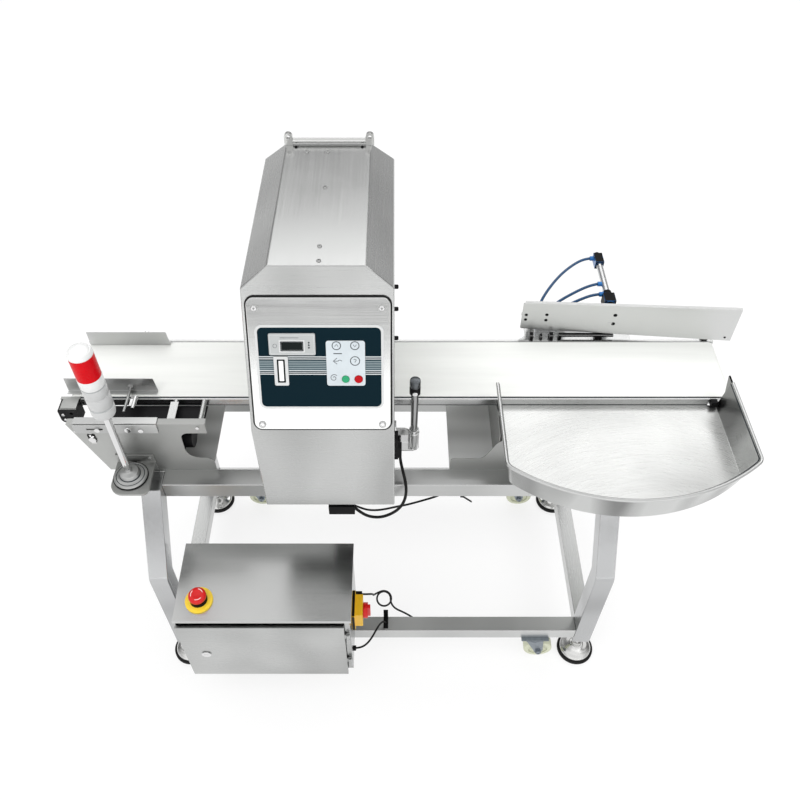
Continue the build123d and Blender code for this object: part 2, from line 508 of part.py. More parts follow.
# ---------------------------------------------------------------- photo sensor beside the tunnel exit
sx_, sy_ = SENSOR
sb = bx(30, 34, sy_ - 24, sy_ + 20, 636, 706) + bx(34, sx_, sy_ - 14, sy_ + 14, 636, 641) + cz(sx_, sy_, 636, 690, 12.5)
sb = sb + along_y([(34, 636), (66, 636), (66, 690), (34, 690)], sy_ + 8, sy_ + 12, [(66, 690, 16)])
sb = sb + cz(sx_, sy_, 690, 700, 11.0) - cz(sx_, sy_, 641, 701, 8.06)
node("sensor_post", sb)
sh = cz(sx_, sy_, 642, 824, 8.0) + cz(sx_, sy_, 820, 862, 12.0) + cy(sx_, sy_ - 14, sy_, 829, 5.0)
node("sensor_head", sh)

# ---------------------------------------------------------------- swing-arm rejecter
px_, py_ = PIVOT
base = along_z([(314, 195.2), (604, 195.2), (604, 306), (349, 306), (349, 222)], 735, 741, [(349, 222, 20)])
base = base + bx(352, 604, 195.2, 198.2, 700, 735)
pin = cz(px_, py_, 741, 819, 6.0) + cz(px_, py_, 819, 822, 9.0) + cz(px_, py_, 741, 767.5, 10.0)
yoke = bx(541, 565, 270, 298, 741, 783)
cheeks_ = bx(355, 364, 195.2, 209, 741, 765) + bx(402, 412, 195.2, 209, 741, 765) + bx(380, 386, 195.2, 207, 741, 762)
stop1 = bx(512, 530, 197, 207, 741, 762)
stop2 = bx(768, 784, 193.2, 203, 740, 764)
bar_ = bx(424, 556, 197, 206, 759.5, 765.5) + bx(424, 432, 197, 206, 741, 759.5)
node("reject_bracket", base + pin + cheeks_, yoke, stop1 + bar_, stop2)

ax, ay = ARM_P0
bx_, by_ = ARM_P1
ang = math.degrees(math.atan2(by_ - ay, bx_ - ax))
alen = math.hypot(bx_ - ax, by_ - ay)
AL = Pos(ax, ay, 0) * Rot(0, 0, ang)
taper = math.degrees(math.atan2(ARM_Z1 - ARM_Z1_LEFT, alen))
blade = along_y([(0, ARM_Z0), (alen, ARM_Z0), (alen, ARM_Z1), (0, ARM_Z1_LEFT)], 0, 3, [(0, ARM_Z1_LEFT, 5), (0, ARM_Z0, 4)])
blade = blade + along_y([(5, ARM_Z1_LEFT - 2.3), (alen, ARM_Z1 - 2.5), (alen, ARM_Z1), (5, ARM_Z1_LEFT + 0.2)], 2.9, 9)
blade = blade + bx(4, alen, 3, 9, ARM_Z0, ARM_Z0 + 2.5)
holes = [(10, 812, 3.2), (10, 797, 3.2), (58, 816, 3.4), (58, 799, 3.4), (216, 827, 4), (216, 800, 4), (482, 778, 2)]
for hx_, hz_, hr_ in holes:
    blade = blade - cy(hx_, -1, 4, hz_, hr_)
arm = AL * blade
hub = cz(px_, py_, 768, 818, 12.0) + bx(px_ - 11, px_ + 11, 218.0, py_, 776, 814)
arm = arm + hub
arm = arm - cz(px_, py_, 760, 875, 6.06)
# slotted lug for the pin of the cylinder rod
qa = math.atan2(PIN_Y - py_, PIN_X - px_)
ca, sa = math.cos(qa), math.sin(qa)


def polar(r):
    return (px_ + r * ca, py_ + r * sa)


s0, s1 = polar(SLOT_R0), polar(SLOT_R1)
lug = bx(536, 578, 199.5, PIN_Y + 4, 797.2, 802.8) + cz(s0[0], s0[1], 797.2, 802.8, 11) + cz(s1[0], s1[1], 797.2, 802.8, 11)
lug = lug - cz(s0[0], s0[1], 790, 810, 5.6) - cz(s1[0], s1[1], 790, 810, 5.6)
mid = ((s0[0] + s1[0]) / 2, (s0[1] + s1[1]) / 2)
lug = lug - Pos(mid[0], mid[1], 800) * Rot(0, 0, math.degrees(qa)) * Box(SLOT_R1 - SLOT_R0, 11.2, 20)
arm = arm + lug
node("reject_arm", arm)

barrel = cy(PIN_X, 312, 418, CYL_Z, 8.2) + cy(PIN_X, 268, 312, CYL_Z, 11.0) + bx(PIN_X - 14, PIN_X + 14, 268.5, 299.5, 786, 811.8)
barrel = barrel + bx(PIN_X - 11, PIN_X + 11, 418, 456, 789, 811) + cy(PIN_X, 456, 464, CYL_Z, 7.0)
barrel = barrel - cy(PIN_X, 282, 440, CYL_Z, 6.8) - cy(PIN_X, 260, 283, CYL_Z, 4.06)
barrel = barrel + bx(PIN_X - 14, PIN_X + 14, 268.5, 299.5, 783.0, 786)
elbows = []
for y in (446.0, 345.0, 306.0):
    rr = 11.0 if y < 320 else (8.2 if y < 400 else 11.0)
    elbows.append(cx(PIN_X - rr - 9, PIN_X - rr + 1, y, CYL_Z, 6.0) - cy(PIN_X, 282, 440, CYL_Z, 6.8))
for e in elbows:
    barrel = barrel + e
node("cylinder_barrel", barrel)
rod = cy(PIN_X, 244, 366, CYL_Z, 4.0) + cy(PIN_X, 366, 376, CYL_Z, 6.7)
fork_ = bx(PIN_X - 9, PIN_X + 9, PIN_Y - 8, 246, 804, 808.5) + bx(PIN_X - 9, PIN_X + 9, PIN_Y - 8, 246, 791.5, 796)
fork_ = fork_ + bx(PIN_X - 9, PIN_X + 9, 241, 250, 791.5, 808.5) + cz(PIN_X, PIN_Y, 791.5, 808.5, 4.0)
node("cylinder_rod", rod + fork_)

MAN = (377.0, 452.0, 246.0, 262.0, 741.0, 786.0)
manifold = bx(*MAN)
ports = [cy(x, 262, 270, 776, 6.5) for x in (386, 412, 438)]
node("air_fittings", manifold, *ports)


# ---------------------------------------------------------------- cables and air tubes
def run_radii(pts):
    out = []
    for i in range(1, len(pts) - 1):
        a, b, c = Vector(*pts[i - 1]), Vector(*pts[i]), Vector(*pts[i + 1])
        d0, d1 = b - a, c - b
        turn = math.radians(d0.get_angle(d1))
        out.append(0.45 * min(d0.length, d1.length) / math.tan(turn / 2))
    return out


def cord(name, pts, r):
    rad = run_radii(pts)
    path = FilletPolyline(*[Vector(*p) for p in pts], radius=rad)
    w = Wire(path.edges()) if not isinstance(path, Wire) else path
    t0 = (Vector(*pts[1]) - Vector(*pts[0])).normalized()
    prof_ = Plane(origin=pts[0], z_dir=t0) * Circle(r)
    tube = sweep(prof_, path=path)
    v = tube.volume
    L = path.length
    runs = [(Vector(*pts[i + 1]) - Vector(*pts[i])).length for i in range(len(pts) - 1)]
    print("cord %-14s d %.1f len %.1f vol/expected %.4f min radius %.1f (%.1f d) longest run %.1f"
          % (name, 2 * r, L, v / (math.pi * r * r * L), min(rad), min(rad) / (2 * r), max(runs)))
    node(name, tube)


HEAD_CABLE = [(42, -84, 664), (43, -89, 648), (48, -106, 634), (54, -128, 624), (57, -144, 608), (54, -152, 582),
              (43, -156, 554), (22, -157, 530), (-4, -156, 514), (-30, -154, 515), (-50, -151, 529), (-62.5, -148, 543)]
RAIL_CABLE = [(-62.5, -138, 537), (-50, -138, 528), (-34, -138, 519), (-14, -138, 517), (8, -138, 522), (32, -137, 530),
              (58, -134, 534), (84, -127.5, 536.5), (106, -120, 536.5), (124, -113.5, 536.3), (138, -109, 540), (147, -106.5, 547.5),
              (151.6, -105.6, 558.9)]
LC, LR = (2.0, -188.0, 178.0), 20.5
ey_ = (0.0, 0.87, 0.493)
en_ = (0.0, -0.493, 0.87)


def loop_pt(deg, rr, lift):
    c_, s_ = math.cos(math.radians(deg)) * rr, math.sin(math.radians(deg)) * rr
    return tuple(LC[i] + (c_ if i == 0 else 0.0) + ey_[i] * s_ + en_[i] * lift for i in range(3))


def from_loop(a, b, c):
    """Point from the loop's own axes: a along x, b along the loop plane, c out of the plane."""
    return (LC[0] + a, LC[1] + ey_[1] * b + en_[1] * c, LC[2] + ey_[2] * b + en_[2] * c)


EBOX_CABLE = [(-50.5, -238, 296), (-42.5, -238, 295.5)]
EBOX_CABLE += [from_loop(-34.5, 14.7, 122.5), from_loop(-29.0, 14.6, 114.0), from_loop(-26.8, 13.9, 102.5), from_loop(-26.2, 12.6, 86.0),
               from_loop(-26.4, 11.0, 67.0), from_loop(-26.3, 10.0, 50.0), from_loop(-25.6, 10.4, 37.0), from_loop(-22.6, 12.0, 26.5),
               from_loop(-17.4, 14.6, 19.5)]
for i_, deg in enumerate(range(105, -405, -30)):
    EBOX_CABLE.append(loop_pt(deg, LR - 0.17 * i_, 14.5 - 0.95 * i_))
EBOX_CABLE += [from_loop(19.8, -14.0, -3.5), from_loop(26.0, -22.5, -7.5), from_loop(35.5, -29.0, -11.5), (48.0, -208.8, 146.6),
               (58.0, -210.4, 139.4), (68.0, -213.0, 133.0), (77.5, -217.2, 128.8), (83.5, -221.8, 127.0)]
EBOX_LEAD = [(-71.0, -332, 194), (-60, -332, 195), (-47, -329, 198), (-36, -321, 202), (-27, -309, 204), (-20, -295, 203),
             (-14, -281, 198), (-9, -268, 190), (-4, -257, 180), (1, -249, 169), (5, -245, 159), (7, -244, 149.5)]
cord("head_cable", HEAD_CABLE, 3.5)
cord("rail_cable", RAIL_CABLE, 2.5)
cord("ebox_cable", EBOX_CABLE, 2.4)
cord("ebox_lead", EBOX_LEAD, 2.4)
AIR_A = [(533.4, 446, 800), (514, 441, 801), (482, 415, 802), (451, 382, 802), (426, 349, 800), (406, 320, 795),
         (392, 298, 787), (386.5, 283, 780), (386, 269.5, 776)]
AIR_B = [(536.2, 345, 800), (522, 341, 800), (500, 331, 799), (476, 319, 795), (452, 307, 789),
         (432, 296, 783), (418, 284, 778), (412, 269.5, 776)]
AIR_C = [(533.4, 306, 800), (521, 304, 800), (505, 300, 798), (485, 294, 793), (464, 288, 786), (447, 281, 779), (438, 269.5, 776)]
cord("air_tube_a", AIR_A, 3.6)
cord("air_tube_b", AIR_B, 3.6)
cord("air_tube_c", AIR_C, 3.6)

# black strips, glands, grommets and the tie that hold the cables
strip = bx(30, 38, -100, -74, 664, 735) + bx(38, 46, -96, -78, 664, 700)
junction = bx(-122, -62, -158, -98, 530, 560)
gland1 = cx(bx1, -50.5, -238, 296, 7.5)
gland2 = cx(bx1, -66, -332, 194, 6.5)
grom = cz(151.5, -105.5, 556.5, 560, 6.4)
grom2 = cy(84, -224, -221, 127, 6.5)
tie = bx(1, 13, -257, -222, 147, 149.5) + bx(1, 13, -224, -222, 118, 182)
tail = Pos(199, -125, 545.5) * Rot(0, 45, 0) * Box(34, 4, 2.4) + bx(183, 190, -127.5, -122.5, 554, 560)
node("cable_fittings", strip, junction, gland1, gland2, grom, grom2, tie, tail)

# ---------------------------------------------------------------- export
lo = [1e9] * 3
hi = [-1e9] * 3
cords = {"head_cable", "rail_cable", "ebox_cable", "ebox_lead", "air_tube_a", "air_tube_b", "air_tube_c"}
for name, sol in NODES.items():
    comp = Compound([Pos(-OX, -OY, 0) * s for s in sol]) if len(sol) > 1 else Pos(-OX, -OY, 0) * sol[0]
    b = comp.bounding_box()
    if name not in cords:
        for i, (a, c) in enumerate(((b.min.X, b.max.X), (b.min.Y, b.max.Y), (b.min.Z, b.max.Z))):
            lo[i] = min(lo[i], a)
            hi[i] = max(hi[i], c)
    export_step(comp, "parts/%s.step" % name)
print("nodes", len(NODES))
print("box low", [round(v, 2) for v in lo], "high", [round(v, 2) for v in hi])
print("centre", round((lo[0] + hi[0]) / 2, 3), round((lo[1] + hi[1]) / 2, 3))
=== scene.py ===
import json
import math
import bpy
import bmesh
from mathutils import Matrix, Vector

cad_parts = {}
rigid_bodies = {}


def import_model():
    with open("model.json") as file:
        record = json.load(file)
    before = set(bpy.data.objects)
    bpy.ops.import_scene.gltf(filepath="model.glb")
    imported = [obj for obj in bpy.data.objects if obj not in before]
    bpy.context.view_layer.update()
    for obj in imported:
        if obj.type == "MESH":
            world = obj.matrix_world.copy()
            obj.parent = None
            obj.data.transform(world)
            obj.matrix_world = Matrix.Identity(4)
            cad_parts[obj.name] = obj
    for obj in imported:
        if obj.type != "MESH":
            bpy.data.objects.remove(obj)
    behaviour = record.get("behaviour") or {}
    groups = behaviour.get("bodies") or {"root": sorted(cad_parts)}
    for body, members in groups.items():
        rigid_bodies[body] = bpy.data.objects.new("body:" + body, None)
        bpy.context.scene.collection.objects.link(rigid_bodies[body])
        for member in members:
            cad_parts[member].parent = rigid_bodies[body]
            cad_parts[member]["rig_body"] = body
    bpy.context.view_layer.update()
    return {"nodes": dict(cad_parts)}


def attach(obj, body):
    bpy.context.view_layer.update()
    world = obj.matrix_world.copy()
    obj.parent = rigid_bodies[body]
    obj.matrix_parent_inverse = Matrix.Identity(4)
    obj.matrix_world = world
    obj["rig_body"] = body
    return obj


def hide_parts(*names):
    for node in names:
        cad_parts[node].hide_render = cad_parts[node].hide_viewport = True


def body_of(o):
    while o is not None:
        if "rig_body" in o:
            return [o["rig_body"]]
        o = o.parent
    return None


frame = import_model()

scene = bpy.context.scene
scene.view_settings.view_transform = "Standard"

# Design coordinates (mm) are the ones of the CAD script; the row frame is metres.
OX, OY = 54.648, 44.4


def row(x, y, z):
    return Vector(((x - OX) / 1000.0, (y - OY) / 1000.0, z / 1000.0))


# ---------------------------------------------------------------- camera
cam_data = bpy.data.cameras.new("camera")
cam_data.sensor_width = 36.0
cam_data.lens = 35.775
cam_data.shift_x = 0.00625
cam = bpy.data.objects.new("camera", cam_data)
cam.location = (-0.023648, -1.2314, 2.090)
cam.rotation_euler = (math.radians(41.6), 0.0, 0.0)
scene.collection.objects.link(cam)
scene.camera = cam


# ---------------------------------------------------------------- node helpers
class Tree:
    def __init__(self, name, color, rough=0.5, metal=0.0):
        self.m = bpy.data.materials.new(name)
        self.m.use_nodes = True
        self.nt = self.m.node_tree
        self.b = self.nt.nodes["Principled BSDF"]
        self.b.inputs["Base Color"].default_value = (*color, 1.0)
        self.b.inputs["Roughness"].default_value = rough
        self.b.inputs["Metallic"].default_value = metal
        self.m.diffuse_color = (*color, 1.0)
        self.tc = self.nt.nodes.new("ShaderNodeTexCoord")

    def new(self, kind, **inputs):
        n = self.nt.nodes.new(kind)
        for k, v in inputs.items():
            n.inputs[k.replace("_", " ")].default_value = v
        return n

    def link(self, a, b):
        self.nt.links.new(a, b)

    def mapped(self, scale, loc=(0, 0, 0), rot=(0, 0, 0)):
        mp = self.new("ShaderNodeMapping", Scale=scale, Location=loc, Rotation=rot)
        self.link(self.tc.outputs["Object"], mp.inputs["Vector"])
        return mp.outputs["Vector"]

    def noise(self, scale, detail=2.0, rough=0.5, size=1.0):
        n = self.new("ShaderNodeTexNoise", Scale=size, Detail=detail, Roughness=rough)
        self.link(self.mapped(scale), n.inputs["Vector"])
        return n.outputs["Fac"]

    def remap(self, src, a, b, c, d):
        n = self.new("ShaderNodeMapRange", From_Min=a, From_Max=b, To_Min=c, To_Max=d)
        self.link(src, n.inputs["Value"])
        return n.outputs["Result"]

    def math(self, op, a, b):
        n = self.nt.nodes.new("ShaderNodeMath")
        n.operation = op
        for i, v in enumerate((a, b)):
            if isinstance(v, (int, float)):
                n.inputs[i].default_value = v
            else:
                self.link(v, n.inputs[i])
        return n.outputs[0]

    def tint(self, fac, c0, c1):
        n = self.nt.nodes.new("ShaderNodeMix")
        n.data_type = "RGBA"
        n.inputs[6].default_value = (*c0, 1.0)
        n.inputs[7].default_value = (*c1, 1.0)
        self.link(fac, n.inputs[0])
        return n.outputs[2]

    def color(self, out):
        self.link(out, self.b.inputs["Base Color"])

    def rough(self, out):
        self.link(out, self.b.inputs["Roughness"])

    def bump(self, height, strength, distance):
        n = self.new("ShaderNodeBump", Strength=strength, Distance=distance)
        self.link(height, n.inputs["Height"])
        self.link(n.outputs["Normal"], self.b.inputs["Normal"])


def shade(c, k):
    return tuple(min(1.0, v * k) for v in c)


def brushed(name, along, base=(0.53, 0.535, 0.53), rough=0.25, spread=0.04, grain=0.025, contrast=0.015, metal_=1.0,
            painted_light_bands=None):
    """Stainless sheet with brush marks that run along one axis of the row frame."""
    t = Tree(name, base, rough, metal_)
    fine = tuple(9.0 if a in along else 1100.0 for a in "xyz")
    wide = tuple(2.5 if a in along else 190.0 for a in "xyz")
    f = t.noise(fine, 3.0, 0.65)
    w = t.noise(wide, 3.0, 0.6)
    cloud = t.noise((5.0, 5.0, 5.0), 3.0, 0.6)
    smear = t.noise((21.0, 21.0, 21.0), 4.0, 0.7)
    mix = t.math("ADD", t.math("MULTIPLY", f, 0.5), t.math("MULTIPLY", w, 0.5))
    col = t.tint(t.remap(mix, 0.32, 0.68, 0.0, 1.0), shade(base, 1 - contrast), shade(base, 1 + contrast))
    if painted_light_bands:
        # broad lighter and darker zones painted into the colour: painted reflections and shade standing in for the
        # studio light's gradients across the sheet
        z = t.remap(t.noise(painted_light_bands[:3], 1.0, 0.4), 0.36, 0.64, painted_light_bands[3], painted_light_bands[4])
        m = t.nt.nodes.new("ShaderNodeVectorMath")
        m.operation = "SCALE"
        t.link(col, m.inputs[0])
        t.link(z, m.inputs["Scale"])
        col = m.outputs["Vector"]
    t.color(col)
    r = t.remap(mix, 0.3, 0.7, rough - spread, rough + spread)
    r = t.math("ADD", r, t.remap(cloud, 0.3, 0.7, -0.025, 0.025))
    r = t.math("ADD", r, t.remap(smear, 0.58, 0.75, 0.0, 0.03))
    t.rough(r)
    t.bump(f, grain, 0.0004)
    return t.m


def metal(name, base, rough, spread=0.04, spangle=0.0, bump=0.04):
    t = Tree(name, base, rough, 1.0)
    n = t.noise((60.0, 60.0, 60.0), 4.0, 0.6)
    f = t.noise((900.0, 900.0, 900.0), 2.0, 0.6)
    t.rough(t.remap(n, 0.3, 0.7, rough - spread, rough + spread))
    if spangle:
        v = t.new("ShaderNodeTexVoronoi", Scale=1.0)
        t.link(t.mapped((160.0, 160.0, 160.0)), v.inputs["Vector"])
        s = t.nt.nodes.new("ShaderNodeSeparateColor")
        t.link(v.outputs["Color"], s.inputs[0])
        t.color(t.tint(s.outputs[0], shade(base, 1 - spangle), shade(base, 1 + spangle)))
    else:
        t.color(t.tint(n, shade(base, 0.95), shade(base, 1.05)))
    t.bump(f, bump, 0.0003)
    return t.m


def plastic(name, base, rough, grain=0.06, vary=0.06, coat=0.0, scale=1400.0, spec=0.35):
    """Moulded or painted surface: fine texture, slight colour drift, dustier patches."""
    t = Tree(name, base, rough, 0.0)
    n = t.noise((14.0, 14.0, 14.0), 4.0, 0.6)
    f = t.noise((scale, scale, scale), 2.0, 0.5)
    t.color(t.tint(t.remap(n, 0.3, 0.7, 0.0, 1.0), shade(base, 1 - vary), shade(base, 1 + vary)))
    t.rough(t.math("ADD", t.remap(n, 0.3, 0.7, rough - 0.05, rough + 0.05), t.remap(f, 0.3, 0.7, -0.03, 0.03)))
    t.bump(f, grain, 0.0003)
    t.b.inputs["Specular IOR Level"].default_value = spec
    if coat:
        t.b.inputs["Coat Weight"].default_value = coat
        t.b.inputs["Coat Roughness"].default_value = 0.08
    return t.m


def belt_material():
    """White coated belt: faint weave under the coat, greyer where goods and rollers rub."""
    base = (0.80, 0.81, 0.785)
    t = Tree("belt_white", base, 0.42, 0.0)
    wv = t.new("ShaderNodeTexWave", Scale=1.0, Distortion=0.4)
    wv.wave_type = "BANDS"
    wv.bands_direction = "X"
    t.link(t.mapped((110.0, 110.0, 110.0)), wv.inputs["Vector"])
    wy = t.new("ShaderNodeTexWave", Scale=1.0, Distortion=0.4)
    wy.bands_direction = "Y"
    t.link(t.mapped((110.0, 110.0, 110.0)), wy.inputs["Vector"])
    weave = t.math("MULTIPLY", wv.outputs["Fac"], wy.outputs["Fac"])
    n = t.noise((2.0, 26.0, 26.0), 4.0, 0.6)
    t.color(t.tint(t.remap(n, 0.35, 0.7, 0.0, 1.0), shade(base, 1.03), shade(base, 0.955)))
    t.rough(t.math("ADD", t.remap(n, 0.3, 0.7, 0.36, 0.46), t.remap(weave, 0.0, 1.0, -0.03, 0.03)))
    t.bump(weave, 0.05, 0.0003)
    return t.m


def tray_material():
    """Sheet finished with a rotating disc: overlapping shallow arcs."""
    base = (0.62, 0.625, 0.615)
    t = Tree("tray_swirl", base, 0.3, 1.0)
    parts = []
    for i, (cx_, cy_, k) in enumerate(((0.44, -0.50, 420.0), (0.54, -0.60, 330.0))):
        sep_ = t.nt.nodes.new("ShaderNodeSeparateXYZ")
        t.link(t.mapped((1.0, 1.0, 0.0), (-cx_, -cy_, 0.0)), sep_.inputs[0])
        dist = t.nt.nodes.new("ShaderNodeVectorMath")
        dist.operation = "LENGTH"
        t.link(t.mapped((1.0, 1.0, 0.0), (-cx_, -cy_, 0.0)), dist.inputs[0])
        turn = t.math("ARCTAN2", sep_.outputs[1], sep_.outputs[0])
        both = t.nt.nodes.new("ShaderNodeCombineXYZ")
        t.link(t.math("MULTIPLY", dist.outputs["Value"], k), both.inputs[0])
        t.link(t.math("MULTIPLY", turn, 3.2), both.inputs[1])
        n = t.new("ShaderNodeTexNoise", Scale=1.0, Detail=3.0, Roughness=0.6)
        t.link(both.outputs[0], n.inputs["Vector"])
        parts.append(t.remap(n.outputs["Fac"], 0.34, 0.66, 0.0, 1.0))
    mix = t.math("ADD", parts[0], parts[1])
    f = t.noise((700.0, 700.0, 700.0), 3.0, 0.7)
    cloud = t.noise((7.0, 7.0, 7.0), 3.0, 0.6)
    # broad lighter and darker zones across the floor: painted reflection laid over the real swirl finish
    painted_sheen_zone = t.remap(t.noise((3.4, 5.0, 1.0), 1.0, 0.4), 0.38, 0.62, 0.82, 1.16)
    lit = t.nt.nodes.new("ShaderNodeVectorMath")
    lit.operation = "SCALE"
    t.link(t.tint(t.remap(mix, 0.3, 1.7, 0.0, 1.0), shade(base, 0.91), shade(base, 1.09)), lit.inputs[0])
    t.link(painted_sheen_zone, lit.inputs["Scale"])
    t.color(lit.outputs["Vector"])
    r = t.math("ADD", t.remap(mix, 0.3, 1.7, 0.24, 0.36), t.remap(cloud, 0.3, 0.7, -0.04, 0.04))
    t.rough(t.math("ADD", r, t.remap(f, 0.3, 0.7, -0.02, 0.02)))
    t.bump(t.math("ADD", mix, t.math("MULTIPLY", f, 0.6)), 0.035, 0.0004)
    return t.m


# Plane of the leaning front: x across, s up the slope, h out of the face.
DYK, DZK = 136.0, 304.0
LNK = math.hypot(DYK, DZK)
PANEL = Matrix(((1, 0, 0, 0), (0, DYK / LNK, -DZK / LNK, -202.0), (0, DZK / LNK, DYK / LNK, 884.0), (0, 0, 0, 1)))


def membrane_material():
    """Dark printed film with a band of fine light lines across it."""
    deep, mid, pale = (0.0012, 0.012, 0.019), (0.25, 0.30, 0.32), (0.60, 0.63, 0.64)
    t = Tree("membrane_dark", deep, 0.22, 0.0)
    dot = t.nt.nodes.new("ShaderNodeVectorMath")
    dot.operation = "DOT_PRODUCT"
    t.link(t.tc.outputs["Object"], dot.inputs[0])
    dot.inputs[1].default_value = (0.0, DYK / LNK, DZK / LNK)
    o = row(0, -202.0, 884.0)
    base = o.y * DYK / LNK + o.z * DZK / LNK
    wob = t.noise((14.0, 3.0, 3.0), 2.0, 0.5)
    s = t.math("SUBTRACT", dot.outputs["Value"], base)
    s = t.math("ADD", s, t.remap(wob, 0.3, 0.7, -0.0004, 0.0004))
    u = t.remap(s, 0.1246, 0.1640, 0.0, 1.0)
    stops = [(124.6, deep), (125.6, pale), (127.4, deep), (129.4, pale), (130.6, deep), (132.9, pale), (134.3, mid)]
    z, k = 135.6, 0
    while z < 153.6:
        stops.append((z, (0.02, 0.05, 0.06) if k % 2 == 0 else mid))
        z += 1.7 if k % 2 == 0 else 1.9
        k += 1
    stops += [(154.2, deep), (156.6, pale), (158.2, deep), (160.6, pale), (162.6, deep)]
    ramp = t.nt.nodes.new("ShaderNodeValToRGB")
    ramp.color_ramp.interpolation = "CONSTANT"
    els = ramp.color_ramp.elements
    els[0].position, els[0].color = 0.0, (*deep, 1)
    els[1].position, els[1].color = 1.0, (*deep, 1)
    for pos, c in stops[1:]:
        e = els.new((pos - 124.6) / 39.4)
        e.color = (*c, 1)
    t.link(u, ramp.inputs["Fac"])
    t.color(ramp.outputs["Color"])
    f = t.noise((1200.0, 1200.0, 1200.0), 2.0, 0.5)
    n = t.noise((20.0, 20.0, 20.0), 3.0, 0.5)
    t.rough(t.remap(n, 0.3, 0.7, 0.3, 0.4))
    t.b.inputs["Specular IOR Level"].default_value = 0.06
    t.bump(f, 0.03, 0.0002)
    return t.m


